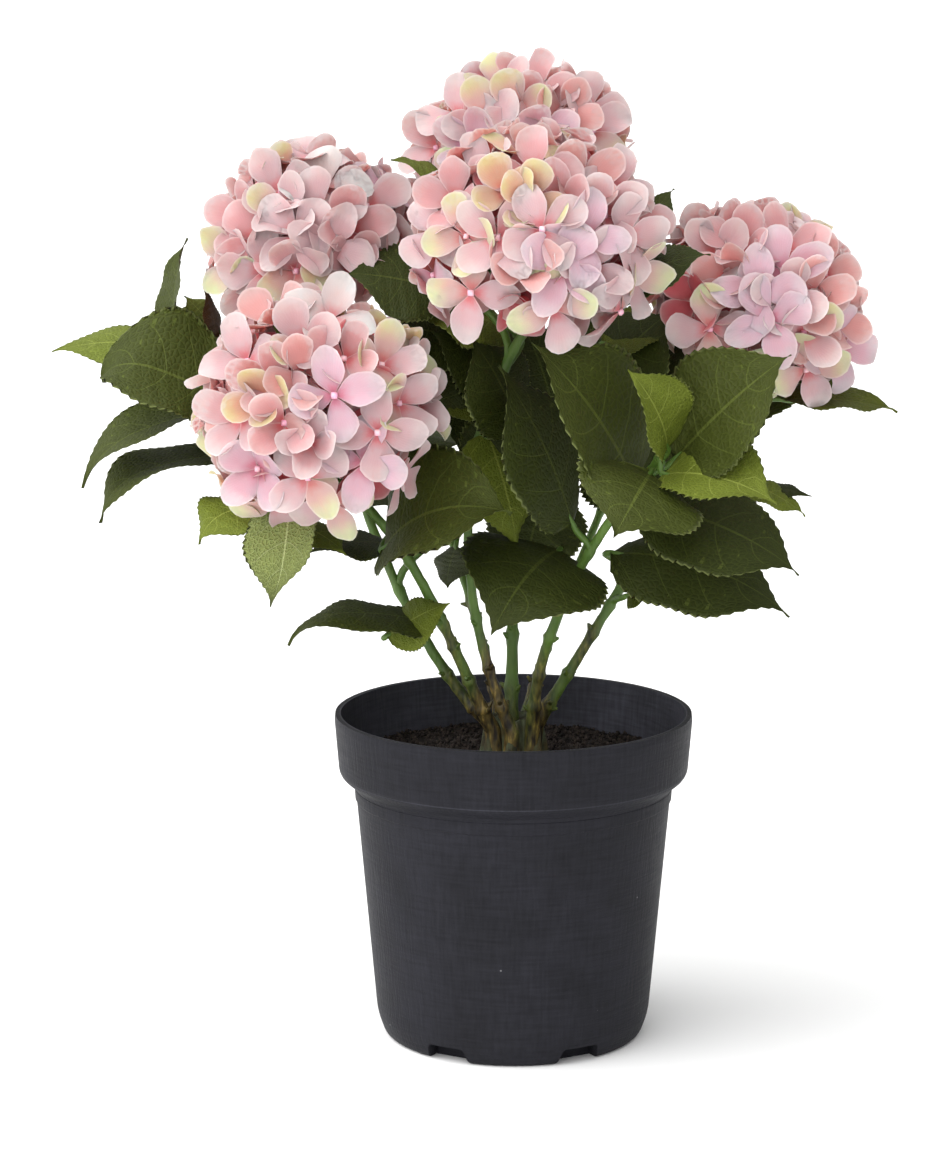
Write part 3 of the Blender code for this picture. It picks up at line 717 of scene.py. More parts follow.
def make_filling():
    """The crumb surface, with lumps strewn over it."""
    line = [Vector(corner) for corner in SOIL_SIDE]
    line += [Vector((SOIL_RADIUS * (1 - k / BED_RINGS), SOIL_TOP)) for k in range(BED_RINGS + 1)]
    bed = turned("soil_bed", line, BED_SIDES)
    for point in bed.data.vertices:
        x, y, z = point.co / MM
        if z > SOIL_TOP - 0.5:
            point.co.z = (soil_height(x, y) - BED_DEPTH) * MM
    dressed(smooth(closed(bed)), SOIL_FINISH)
    worn_by(bed, "soil_crumbs", "soil_fill")
    field = bpy.data.meshes.new("soil_field")
    field.from_pydata(*open_disc(SOIL_RADIUS - WALL_GAP, FIELD_RINGS, FIELD_SIDES))
    crumbs = linked(bpy.data.objects.new("soil_crumbs", field))
    lump = lump_shape()
    area = math.pi * (SOIL_RADIUS * MM) ** 2
    grown(crumbs, crumb_tree(), {"Lump": lump, "Count per m2": CRUMB_COUNT / area, "Finish": SOIL_FINISH})
    bpy.data.objects.remove(lump)
    worn_by(crumbs, "soil_crumbs")


make_filling()

# ---------------------------------------------------------------- stems
TRUNK_TOP = 131.3
# seat (x, y), first pull, second pull, end, thickness at the foot
STEMS = {
    "left_back":   ((-9.0, 4.5), (-34, 5, 150), (-78, 14, 235), (-76, 18, 300), 7.4),
    "left_front":  ((-8.5, -5.5), (-24, -14, 162), (-36, -22, 208), (-66, -40, 238), 7.8),
    "centre":      ((-0.5, -10.0), (-15, -12, 165), (-36, -12, 235), (6, -34, 306), 7.0),
    "top_back":    ((-1.0, 3.0), (0, 12, 180), (0, 30, 270), (2, 50, 328), 7.6),
    "front":       ((8.0, -6.5), (8, -16, 168), (26, -32, 214), (58, -58, 254), 7.4),
    "right":       ((9.5, 3.5), (26, 0, 160), (60, -4, 215), (92, 20, 274), 7.4),
    "back_left":   ((-5.5, 11.5), (-14, 30, 175), (-34, 60, 215), (-44, 84, 262), 6.4),
    "back_right":  ((5.0, 11.5), (16, 32, 175), (40, 62, 210), (56, 78, 262), 6.4),
}
# flower heads: centre, the way the dome faces, radius across, height to width
HEADS = {
    "left_front": ((-78, -58, 273), (-0.22, -0.66, 0.72), 51.0, 0.98),
    "centre":     ((8, -48, 340), (0.02, -0.42, 0.90), 52.0, 0.88),
    "left_back":  ((-84, 22, 331), (-0.20, -0.12, 0.97), 46.0, 0.92),
    "top_back":   ((3, 60, 361), (0.02, 0.20, 0.98), 50.0, 0.90),
    "right":      ((99, 15, 306), (0.30, -0.30, 0.90), 49.0, 0.88),
}
# place on the stem curve, where the blade starts (None: a little way out), tip, way the upper
# side faces, width, arch, curl of the tip in degrees, cup, tint and, where there is one, the
# blade's twist in degrees
LEAVES = {
    "left_back": (
        (0.82, (-118, -6, 270), (-176, -14, 292), (0.35, -0.60, 0.72), 58, 0.06, 105, -0.28, DEEP),
        (0.89, (-142, 20, 285), (-137, 20, 335), (-0.94, -0.33, 0.09), 32, 0.04, 10, -0.17, DEEP),
        (0.90, (-140, 34, 287), (-194, 26, 287), (0.04, -0.26, 0.96), 44, 0.05, 10, 0.10, YOUNG),
        (0.81, (-121, 4, 265), (-183, -22, 242), (-0.27, -0.19, 0.94), 42, 0.07, 46, -0.15, DEEP),
        (0.73, (-118, 2, 246), (-178, -24, 229), (-0.20, -0.18, 0.96), 40, 0.08, 58, -0.13, DEEP),
        (0.79, (-116, 24, 259), (-152, 16, 269), (0.30, -0.16, 0.94), 40, 0.05, 20, 0.10, DARK),
        (0.94, (-128, 30, 298), (-138, 30, 309), (0.69, -0.38, 0.62), 22, 0.05, 10, 0.10, YOUNG),
        (0.90, (-124, 22, 288), (-129, 24, 314), (0.95, -0.23, 0.20), 22, 0.05, 10, 0.10, RUSSET),
        (0.44, (-24, -4, 209), (-28, -8, 192), (-0.87, -0.40, 0.30), 36, 0.05, 8, 0.10, DARK),
        (0.88, None, (-150, 62, 290), (-0.35, 0.15, 0.92), 48, 0.10, 15, 0.15, DARK),
        (0.80, None, (-96, 94, 290), (0.00, 0.30, 0.95), 50, 0.12, 15, 0.15, DEEP),
        (0.68, None, (-140, 62, 262), (-0.30, 0.20, 0.93), 54, 0.12, 15, 0.20, DARK),
    ),
    "left_front": (
        (0.95, (-100, -30, 233), (-131, -50, 223), (-0.10, -0.32, 0.94), 40, 0.05, 75, 0.10, YOUNG),
        (0.95, (-89, -60, 244), (-95, -84, 198), (-0.55, -0.71, 0.44), 36, -0.03, -15, -0.23, SAGE),
        (0.78, (-53, -44, 215), (5, -68, 236), (-0.47, -0.50, 0.73), 64, 0.20, 12, -0.26, DEEP),
        (0.95, (-90, -34, 225), (-67, -44, 213), (0.33, -0.31, 0.89), 26, 0.05, 10, 0.10, YOUNG),
        (0.69, (-47, -22, 213), (-84, -30, 213), (0.03, -0.14, 0.99), 36, 0.05, 15, 0.10, DARK),
        (0.44, (-34, -24, 181), (-96, -48, 186), (0.14, -0.17, 0.98), 40, 0.06, 60, 0.10, DEEP, 20),
        (0.47, (-52, -28, 176), (-26, -32, 191), (-0.48, -0.54, 0.69), 28, 0.05, 10, 0.24, YOUNG),
    ),
    "centre": (
        (0.91, (-28, -14, 317), (-68, -22, 325), (0.27, -0.56, 0.78), 46, 0.03, 10, 0.10, DARK),
        (0.95, (35, -24, 319), (78, -38, 335), (-0.44, -0.47, 0.77), 34, 0.03, 10, 0.10, DARK),
        (0.73, (-11, -22, 260), (2, -30, 213), (0.69, -0.66, 0.30), 48, 0.03, 10, 0.10, YOUNG),
        (0.89, (-1, -6, 299), (-45, -12, 312), (0.31, -0.35, 0.88), 46, 0.05, 10, 0.10, OLIVE),
        (0.77, (-3, -8, 270), (-35, -10, 269), (-0.01, -0.36, 0.93), 34, 0.05, 10, 0.10, OLIVE),
        (0.81, (2, -4, 278), (-34, -8, 300), (0.47, -0.59, 0.66), 50, 0.05, 10, 0.10, DARK),
        (0.83, (-18, 4, 292), (-58, 0, 302), (0.26, -0.51, 0.82), 48, 0.05, 10, 0.10, DARK),
        (0.76, (2, -30, 261), (-18, -36, 301), (0.76, -0.59, 0.29), 48, 0.06, 10, 0.10, DARK),
        (0.80, None, (-34, 14, 290), (-0.30, -0.60, 0.80), 50, 0.10, 15, 0.20, DARK),
        (0.62, None, (16, -22, 268), (0.30, -0.90, 0.20), 48, 0.05, 10, 0.10, DARK),
    ),
    "top_back": (
        (0.34, (19, -16, 210), (-11, -82, 188), (0.24, -0.40, 0.88), 62, 0.12, 35, 0.10, DARK),
        (0.46, (13, -2, 234), (4, -8, 194), (-0.44, -0.87, 0.23), 46, 0.05, 10, 0.10, DARK),
        (0.95, (-25, 20, 358), (-51, 16, 368), (0.38, -0.15, 0.91), 24, 0.05, 10, 0.10, OLIVE),
        (0.94, (52, 22, 333), (66, 24, 355), (-0.73, -0.45, 0.51), 26, 0.05, 10, 0.10, DARK),
        (0.64, (35, -6, 277), (63, -6, 307), (-0.53, -0.68, 0.50), 52, 0.05, 10, 0.10, DARK),
        (0.58, (17, 0, 261), (2, -4, 305), (0.71, -0.68, 0.18), 52, 0.05, 10, 0.10, DARK),
        (0.72, None, (-50, 72, 284), (-0.20, 0.20, 0.95), 46, 0.12, 15, 0.20, DEEP),
        (0.76, None, (64, 52, 300), (0.20, -0.20, 0.95), 54, 0.12, 15, 0.20, DARK),
        (0.66, None, (-36, 10, 262), (-0.20, -0.85, 0.40), 48, 0.06, 10, 0.15, DARK),
        (0.86, None, (-30, 118, 318), (-0.10, 0.50, 0.85), 54, 0.12, 15, 0.20, DARK),
        (0.90, None, (48, 108, 322), (0.10, 0.50, 0.85), 54, 0.12, 15, 0.20, DEEP),
    ),
    "front": (
        (0.66, (24, -38, 224), (-6, -56, 292), (0.82, -0.53, 0.22), 56, 0.04, 8, 0.10, DARK),
        (0.85, (49, -50, 242), (7, -84, 305), (0.80, -0.55, 0.24), 64, 0.05, 8, -0.20, DEEP),
        (0.92, (64, -56, 254), (108, -74, 299), (-0.65, -0.67, 0.37), 56, 0.04, 8, -0.17, DEEP),
        (0.84, (51, -54, 236), (115, -72, 210), (0.18, -0.54, 0.82), 56, 0.08, 8, 0.10, DARK),
        (0.94, (54, -66, 250), (37, -112, 230), (0.35, -0.45, 0.82), 54, 0.14, 10, 0.10, DEEP),
        (1.00, (61, -62, 259), (44, -88, 295), (0.81, -0.59, -0.04), 32, 0.08, 5, -0.35, YOUNG),
        (1.00, (59, -62, 249), (104, -92, 242), (-0.17, -0.46, 0.87), 40, 0.10, 5, -0.25, YOUNG),
    ),
    "right": (
        (0.51, (40, -18, 209), (116, -36, 185), (0.14, -0.53, 0.84), 52, 0.12, 8, 0.21, DARK),
        (0.77, (92, -14, 239), (120, -20, 225), (0.38, -0.29, 0.88), 24, 0.05, 10, 0.10, YOUNG),
        (0.77, (96, -4, 234), (123, -8, 231), (0.09, -0.14, 0.99), 24, 0.05, 5, 0.10, DARK),
        (0.95, (110, 8, 269), (160, 12, 264), (0.11, -0.23, 0.97), 34, 0.04, 8, -0.13, OLIVE),
        (0.44, (47, -8, 189), (57, -14, 193), (-0.51, -0.32, 0.80), 20, 0.05, 8, 0.10, OLIVE),
        (0.81, (50, 2, 268), (72, 6, 294), (-0.64, -0.46, 0.61), 46, 0.05, 10, 0.10, DARK),
        (0.88, (36, 0, 293), (67, 0, 299), (-0.18, -0.28, 0.94), 44, 0.05, 8, -0.10, OLIVE),
        (0.62, None, (84, 2, 268), (0.05, -0.90, 0.40), 50, 0.06, 10, 0.15, DARK),
        (0.70, None, (34, 0, 262), (-0.10, -0.90, 0.40), 48, 0.06, 10, 0.15, DARK),
        (0.84, None, (136, 88, 292), (0.25, 0.30, 0.90), 48, 0.08, 12, 0.20, DEEP),
        (0.74, None, (98, 70, 276), (0.10, 0.40, 0.90), 46, 0.10, 12, 0.20, DARK),
    ),
    "back_left": (
        (0.66, None, (-104, 66, 214), (-0.20, 0.10, 0.97), 52, 0.12, 20, 0.20, DEEP),
        (0.70, None, (18, 76, 226), (0.20, 0.10, 0.97), 50, 0.12, 20, 0.20, DARK),
        (0.82, None, (-60, 142, 232), (-0.10, 0.50, 0.85), 54, 0.12, 15, 0.20, DEEP),
        (0.96, None, (-100, 116, 262), (-0.30, 0.30, 0.90), 44, 0.12, 15, 0.20, YOUNG),
        (0.98, None, (-18, 118, 268), (0.20, 0.30, 0.90), 44, 0.12, 15, 0.20, YOUNG),
    ),
    "back_right": (
        (0.66, None, (112, 52, 214), (0.20, 0.10, 0.97), 52, 0.12, 20, 0.20, DEEP),
        (0.82, None, (50, 138, 226), (0.10, 0.50, 0.85), 54, 0.12, 15, 0.20, DARK),
        (0.96, None, (112, 112, 256), (0.30, 0.30, 0.90), 44, 0.12, 15, 0.20, YOUNG),
    ),
}
LIMB_STEPS = 72
FOOT_DEPTH = 3             # how deep a stem's foot stands in the filling
FOOT_INWARD = 0.82         # its distance from the middle, as a share of the seat's
FOOT_FLARE = (1.45, 1.15)  # how much stouter the stem is at its foot and half way up to its seat
STEM_SIDES, STEM_RELIEF = 14, 0.9
STALK_SIDES, STALK_RELIEF = 7, 0.15
FLORET_STALK_SIDES = 5
NODE_RINGS = (0.10, 0.22, 0.36)  # shares of a stem's length where it is scarred
NODE_SWELL = 0.34          # how much stouter a stem is at a scar or a leaf
NODE_LENGTH = 0.012
SCAR_RADII = (1.5, 1.3, 0.45)
SCAR_REACH = (0.8, 2.0)    # least and most height of a scar over the stem
HUB_DEPTH = 0.45           # how far inside a head its florets' stalks meet, in its radii
STALK_RADIUS = 1.5
STALK_STEPS = 9
RIB_STEPS = 11
RIB_REACH = 0.8            # the share of the blade that has a rib under it
RIB_GAP = 0.35


def stem_curve(name):
    """The four handles of a stem's curve."""
    seat, pull, pull2, end, thick = STEMS[name]
    return [Vector((*seat, TRUNK_TOP)), Vector(pull), Vector(pull2), Vector(end)]


def stem_radius(name, t):
    """Stout at the foot, slimmer within a few centimetres, swollen a little at each node."""
    radius = STEMS[name][4] * 0.5 * (0.60 + 0.32 * math.exp(-9 * t)) * (1 - 0.22 * t)
    rings = NODE_RINGS + tuple(row[0] for row in LEAVES[name])
    return radius * (1 + sum(NODE_SWELL * math.exp(-((t - ring) / NODE_LENGTH) ** 2) for ring in rings))


def limb_tree():
    """Wraps tubes round lines of edges that carry their own thickness, with a rough skin."""
    tree, given = new_tree("limb_skin", (("Sides", "Int", 12), ("Relief", "Float", 0.3 * MM),
                                         ("Grain", "Float", 2.4 * MM), ("Finish", "Material", None)))
    lines = add(tree, "GeometryNodeMeshToCurve", [given["Geometry"]])
    thick = add(tree, "GeometryNodeInputNamedAttribute", {"Name": "thick"}, data_type="FLOAT")
    ring = add(tree, "GeometryNodeCurvePrimitiveCircle", {"Resolution": given["Sides"], "Radius": 1.0})
    tube = add(tree, "GeometryNodeCurveToMesh",
               {"Curve": lines, "Profile Curve": ring, "Scale": thick, "Fill Caps": True})
    place = add(tree, "GeometryNodeInputPosition")
    long_grain = add(tree, "VectorMath MULTIPLY", [place, (1.0, 1.0, 0.35)])
    pitch = add(tree, "Math DIVIDE", [1.0, given["Grain"]])
    rough = add(tree, "TexNoise", {"Vector": long_grain, "Scale": pitch, "Detail": 2.0})
    rough = add(tree, "Math SUBTRACT", [rough, 0.5])
    rough = add(tree, "Math MULTIPLY", [rough, given["Relief"]])
    out = add(tree, "GeometryNodeInputNormal")
    push = add(tree, "VectorMath SCALE", {0: out, "Scale": rough})
    tube = add(tree, "GeometryNodeSetPosition", {"Geometry": tube, "Offset": push})
    tube = add(tree, "GeometryNodeSetShadeSmooth", [tube])
    tube = add(tree, "GeometryNodeRealizeInstances", [tube])
    tube = add(tree, "GeometryNodeSetMaterial", {0: tube, "Material": given["Finish"]})
    add(tree, "NodeGroupOutput", [tube], out=None)
    return tree


LIMB_TREE = limb_tree()


def limbs_object(name, limbs, sides, relief):
    """One piece from many limbs, each a list of (point, radius)."""
    points = []
    edges = []
    for limb in limbs:
        first = len(points)
        points.extend(point for point, radius in limb)
        edges.extend((first + i, first + i + 1) for i in range(len(limb) - 1))
    thing = mesh_object(name, points, edges=edges)
    point_values(thing, "thick", "FLOAT", [radius * MM for limb in limbs for point, radius in limb])
    return grown(thing, LIMB_TREE, {"Sides": sides, "Relief": relief * MM, "Finish": STEM_FINISH})


SPINE_STEPS = 24
BARE_STALK = 0.16          # how far out a blade starts, as a share of the way from stem to tip
CURL_ONSET = 1.4           # the higher, the nearer to the tip a blade curls
UNTWISTED = 0.25           # the share of the blade where its twist passes through none


def leaf_spine(root, row):
    """The middle line of a blade: points, each with the ways ahead, up and across."""
    t, base, tip, face, width, arch, curl, cup, tint, *twist = row
    tip = Vector(tip)
    start = Vector(base) if base else root.lerp(tip, BARE_STALK)
    chord = tip - start
    along = chord.normalized()
    up = Vector(face)
    up = (up - along * up.dot(along)).normalized()
    spine = []
    at = start.copy()
    for i in range(SPINE_STEPS + 1):
        s = i / SPINE_STEPS
        heading = math.atan(4 * arch * (1 - 2 * s)) - math.radians(curl) * max(0, 2 * s - 1) ** CURL_ONSET
        ahead = along * math.cos(heading) + up * math.sin(heading)
        lift = up * math.cos(heading) - along * math.sin(heading)
        turn = math.radians(sum(twist)) * (s - UNTWISTED)
        side = lift.cross(ahead)
        spine.append((at.copy(), ahead, lift * math.cos(turn) - side * math.sin(turn),
                      side * math.cos(turn) + lift * math.sin(turn)))
        at += ahead * (chord.length / SPINE_STEPS)
    return spine


def on_spine(spine, s):
    """The spine's point and ways at a share of its length."""
    k = min(int(s * SPINE_STEPS), SPINE_STEPS - 1)
    return [a.lerp(b, s * SPINE_STEPS - k) for a, b in zip(spine[k], spine[k + 1])]


def scars(name, rng):
    """Short stubs where leaves were left off the mould, along the bare part of a stem."""
    curve = stem_curve(name)
    stubs = []
    for ring in NODE_RINGS:
        for k in range(2):
            t = ring + rng.uniform(-0.01, 0.02)
            at = bezier(curve, t)
            ahead = (bezier(curve, t + 0.01) - at).normalized()
            out = Vector((rng.uniform(-1, 1), rng.uniform(-1, 1), 0))
            out = (out - ahead * out.dot(ahead)).normalized()
            radius = stem_radius(name, t)
            tip = at + out * (radius + rng.uniform(*SCAR_REACH)) + ahead * 1.4
            stubs.append(list(zip((at, at + out * radius * 0.8, tip), SCAR_RADII)))
    return stubs


def leaf_wire(curve, row):
    """A leaf's stalk from its stem to the blade, and on under the blade as its middle rib."""
    root = bezier(curve, row[0])
    spine = leaf_spine(root, row)
    at, ahead, lift, side = spine[0]
    gap = (at - root).length * 0.4
    onward = (bezier(curve, row[0] + 0.01) - bezier(curve, row[0] - 0.01)).normalized()
    path = [root, root + onward * gap, at - ahead * gap, at]
    wire = [(bezier(path, i / STALK_STEPS), STALK_RADIUS * (1.25 - 0.45 * i / STALK_STEPS))
            for i in range(STALK_STEPS + 1)]
    for i in range(1, RIB_STEPS + 1):
        at, ahead, lift, side = on_spine(spine, RIB_REACH * i / RIB_STEPS)
        radius = STALK_RADIUS * (0.6 - 0.035 * i)
        wire.append((at - lift * (radius + RIB_GAP), radius))
    return wire


def make_stems():
    """Each bough with its feet in the filling, its scars, and the stalks and ribs of its leaves."""
    limbs = []
    wires = []
    rng = random.Random(8)
    for name in STEMS:
        curve = stem_curve(name)
        foot = Vector((curve[0].x * FOOT_INWARD, curve[0].y * FOOT_INWARD, SOIL_TOP - FOOT_DEPTH))
        thick = stem_radius(name, 0)
        limb = [(foot, thick * FOOT_FLARE[0]), (foot * 0.5 + curve[0] * 0.5, thick * FOOT_FLARE[1])]
        for t in (i / LIMB_STEPS for i in range(LIMB_STEPS + 1)):
            limb.append((bezier(curve, t), stem_radius(name, t)))
        if name in HEADS:
            centre, way, radius, squash = HEADS[name]
            hub = Vector(centre) - Vector(way).normalized() * (radius * HUB_DEPTH)
            limb += [(curve[3] * 0.5 + hub * 0.5, 2.0), (hub, 1.9)]
        limbs.append(limb)
        limbs.extend(scars(name, rng))
        wires.extend(leaf_wire(curve, row) for row in LEAVES[name])
    stems = limbs_object("stems_moulded", limbs, STEM_SIDES, STEM_RELIEF)
    worn_by(stems, "stem_green", *("stem_" + name for name in STEMS))
    stalks = limbs_object("leaf_stalks", wires, STALK_SIDES, STALK_RELIEF)
    worn_by(stalks, "stem_green")


make_stems()

# ---------------------------------------------------------------- trunk
TRUNK_FOOT_RADIUS = 17.0
TRUNK_ROWS = 26
TRUNK_SIDES = 96
TRUNK_BROW = 0.72          # the share of the rows where the stock turns over into its hollow top
TRUNK_DEPTH = 1.5          # how deep the stock stands in the filling
TRUNK_RISE = 19.5          # from its foot to its brow
TRUNK_HOLLOW = 2.0
TRUNK_LEAN = (0.8, 0.9)


def make_trunk():
    """The stems' feet run together in a ribbed, mossy stock with a hollow top."""
    rng = random.Random(5)
    ribs = [(rng.randint(5, 23), rng.uniform(0, math.tau), rng.uniform(0.2, 0.6)) for _ in range(9)]
    feet = [Vector(row[0]) for row in STEMS.values()]
    points = []
    for i in range(TRUNK_ROWS + 1):
        s = i / TRUNK_ROWS
        shrink = math.cos(min(1.0, max(0.0, (s - 0.55) / 0.45)) * math.pi / 2)
        for k in range(TRUNK_SIDES):
            a = math.tau * k / TRUNK_SIDES
            way = Vector(around(a))
            near = max((way.dot(foot.normalized()) for foot in feet if foot.length > 5), default=0)
            lobe = 0.60 + 0.36 * math.exp(-(math.acos(min(near, 1.0)) / 0.28) ** 2)
            rib = 1 + 0.03 * sum(w * math.sin(n * a + p + 5 * s) for n, p, w in ribs)
            flare = 0.80 + 0.20 * (1 - s) ** 2.2
            radius = TRUNK_FOOT_RADIUS * lobe * rib * flare * (0.08 + 0.92 * shrink)
            z = SOIL_TOP - TRUNK_DEPTH + TRUNK_RISE * min(s / TRUNK_BROW, 1.0)
            z -= TRUNK_HOLLOW * max(0, s - TRUNK_BROW) / 0.28
            points.append((radius * math.cos(a) + TRUNK_LEAN[0] * s,
                           radius * math.sin(a) + TRUNK_LEAN[1] * s, z))
    faces = bands(TRUNK_ROWS, TRUNK_SIDES)
    faces.append(tuple(reversed(range(TRUNK_SIDES))))
    faces.append(tuple(range(len(points) - TRUNK_SIDES, len(points))))
    trunk = closed(mesh_object("trunk_bark", points, faces))
    dressed(smooth(trunk), BARK_FINISH)
    worn_by(trunk, "stem_bark", "trunk")


make_trunk()

# ---------------------------------------------------------------- leaves
TEETH = 19                 # on each side of a leaf
TOOTH_DEPTH = 1.25
TOOTH_LEAN = 0.70          # where in its pitch a tooth is highest, so that it points to the tip
COLUMNS = (-1.0, -0.90, -0.62, -0.32, 0.0, 0.32, 0.62, 0.90, 1.0)
CLOTH = 0.5                # thickness of the pressed cloth in the middle
VEIN_DEPTH = 0.35          # how deep the side veins are pressed in
RIB_DEPTH = 0.45           # and the middle one
# shares of the blade's length, and how much of a tooth's depth the rim stands out there
BLADE_ROWS = [(0.0, 0.0)] + [row for k in range(TEETH)
                             for row in (((k + TOOTH_LEAN) / TEETH, 1.0), ((k + 1) / TEETH, 0.0))]


def blade_half(s):
    """Half the blade's width as a share of its width: rounded at the stalk, pointed at the tip."""
    if s <= 0 or s >= 1:
        return 0.0
    return 0.5 * math.sin(math.pi * s ** 0.8) ** (0.60 + 1.1 * s * s)


def add_leaf(sheet, root, row, rng):
    """Adds a closed, toothed blade of two faces to the sheet's points, faces, map and finishes."""
    t, base, tip, face, width, arch, curl, cup, tint, *twist = row
    points, faces, spots, kinds = sheet
    spine = leaf_spine(root, row)
    phase = rng.uniform(0, math.tau)
    waves = rng.uniform(1.6, 2.6)
    wave = rng.uniform(0.015, 0.035) * width
    depth = TOOTH_DEPTH * min(1.0, width / 46) * rng.uniform(0.9, 1.1)
    count = len(COLUMNS)
    for under in (0, 1):
        first = len(points)
        for s, tooth in BLADE_ROWS:
            at, ahead, lift, side = on_spine(spine, s)
            half = blade_half(s) * width
            for c in COLUMNS:
                reach = half * c
                if abs(c) == 1.0 and 0 < s < 1:
                    reach += c * depth * (tooth - 0.35) * min(1, half / 6)
                drop = -cup * width * blade_half(s) * abs(c) ** 1.4
                swell = wave * math.sin(math.tau * waves * s + phase + (1.3 if c > 0 else 0)) * c * c
                lean = s - VEIN_LEAN * abs(c) - VEIN_BOW * c * c
                vein = -VEIN_DEPTH * math.cos(math.tau * (SIDE_VEINS + 1) * lean)
                quilt = vein * abs(c) * (1 - abs(c)) * 4 * min(1, half / 12)
                groove = -RIB_DEPTH if c == 0 else 0.0
                skin = (0.5 - under) * CLOTH * (1 - c * c) * min(1, 8 * s, 8 * (1 - s))
                rise = drop + swell + quilt + groove * min(1, 4 * (1 - s)) * min(1, half) + skin
                points.append(at + side * reach + lift * rise)
        for i in range(len(BLADE_ROWS) - 1):
            for k in range(count - 1):
                corners = [(i, k), (i + 1, k), (i + 1, k + 1), (i, k + 1)]
                if not under:
                    corners.reverse()
                faces.append(tuple(first + r * count + c for r, c in corners))
                kinds.append(tint + len(LEAF_TINTS) * under)
                for r, c in corners:
                    across = 0.5 + CELL_ACROSS * COLUMNS[c]
                    along = CELL_MARGIN + CELL_ALONG * BLADE_ROWS[r][0]
                    spots.append(((tint + across) / len(LEAF_TINTS), (under + along) / 2))


def make_leaves():
    """The leaf blades of each bough as one piece of cloth."""
    rng = random.Random(21)
    for name, rows in LEAVES.items():
        sheet = ([], [], [], [])
        for row in rows:
            add_leaf(sheet, bezier(stem_curve(name), row[0]), row, rng)
        points, faces, spots, kinds = sheet
        leaves = mesh_object("leaves_%s_cloth" % name, points, faces)
        lay_out(leaves.data, spots)
        for material in LEAF_UPPER + LEAF_UNDER:
            leaves.data.materials.append(material)
        leaves.data.polygons.foreach_set("material_index", kinds)
        smooth(closed(leaves))
        low = ["low_leaf"] if name == "left_front" else []
        worn_by(leaves, "leaf_cloth", "leaves_" + name, *low)


make_leaves()

# ---------------------------------------------------------------- flower heads
PETAL_LENGTH = 18.6
PETAL_WIDTH = 13.5
PETAL_GRID = 5
SILK = 0.35                # thickness of the silk in a petal's middle
OUTER_FLORETS = 60
INNER_FLORETS = 42
HEAD_OPEN = 116.0          # degrees from the top of a head to its lowest florets
GOLDEN = math.pi * (3 - math.sqrt(5))
HEAD_SEED = "b"
# petal shapes: width, spoon across, curl along, ripple of the rim
PETAL_SHAPES = (
    (1.00, 0.10, 0.04, 0.04), (0.96, 0.18, 0.10, 0.08), (1.06, 0.08, -0.06, 0.09),
    (1.02, 0.24, 0.16, 0.06), (0.94, 0.30, 0.12, 0.09), (1.04, 0.14, -0.14, 0.09),
    (1.00, -0.08, -0.12, 0.11), (0.98, 0.20, -0.08, 0.12), (1.08, 0.16, 0.12, 0.08),
    (1.00, 0.28, -0.10, 0.08), (1.02, 0.05, 0.18, 0.11), (0.98, 0.22, -0.16, 0.08),
)
# which of them a floret picks from, by how far its petals are lifted
FLAT = (0, 2, 5, 11)
BOWL = (1, 3, 8, 10)
TIGHT = (3, 4, 7, 9)
BACK = (2, 5, 6)


def petal_shape(number, row):
    """One closed petal that lies along +Y and looks up +Z, laid out from a disc."""
    widen, spoon, curl, ripple = row
    rng = random.Random(number)
    phase = rng.uniform(0, math.tau)
    skew = rng.uniform(-0.08, 0.08)
    point = rng.uniform(-0.03, 0.06)
    fold = rng.uniform(0.0, 0.11)
    steps = [2 * i / PETAL_GRID - 1 for i in range(PETAL_GRID + 1)]
    points = []
    spots = []
    for face_side in (1, -1):
        for v in steps:
            for u in steps:
                x = u * math.sqrt(1 - v * v / 2)
                y = v * math.sqrt(1 - u * u / 2)
                s = (y + 1) / 2
                rim = min(1.0, math.hypot(x, y))
                turn = math.atan2(y, x)
                across = x * 1.13 * (1 - 0.68 * (1 - s) ** 2.2) * PETAL_WIDTH * 0.5 * widen
                across += skew * PETAL_LENGTH * s * s
                across *= 1 + (0.07 * math.sin(3 * turn + phase) + 0.035 * math.sin(5 * turn - phase)) * rim
                along = PETAL_LENGTH * (s + point * (s * (1 - abs(x))) ** 4)
                rise = spoon * PETAL_WIDTH * x * x * s + curl * PETAL_LENGTH * s * s
                rise += ripple * PETAL_LENGTH * math.sin(3 * math.atan2(x, y) + phase) * rim ** 3 * s
                rise += fold * PETAL_WIDTH * abs(x) * s
                rise += face_side * SILK * 0.5 * max(0.0, 1 - rim ** 2)
                points.append((across, along, rise))
                spots.append((0.5 + CELL_ACROSS * x, 0.5 + CELL_ACROSS * y))
    n = PETAL_GRID + 1
    corners = (i * n + k for i in range(PETAL_GRID) for k in range(PETAL_GRID))
    top = [(a, a + 1, a + n + 1, a + n) for a in corners]
    faces = top + [tuple(n * n + a for a in reversed(face)) for face in top]
    thing = mesh_object("petal_%02d" % number, points, faces)
    lay_out(thing.data, [spots[a] for face in faces for a in face])
    return smooth(closed(thing, 0.01), 75)


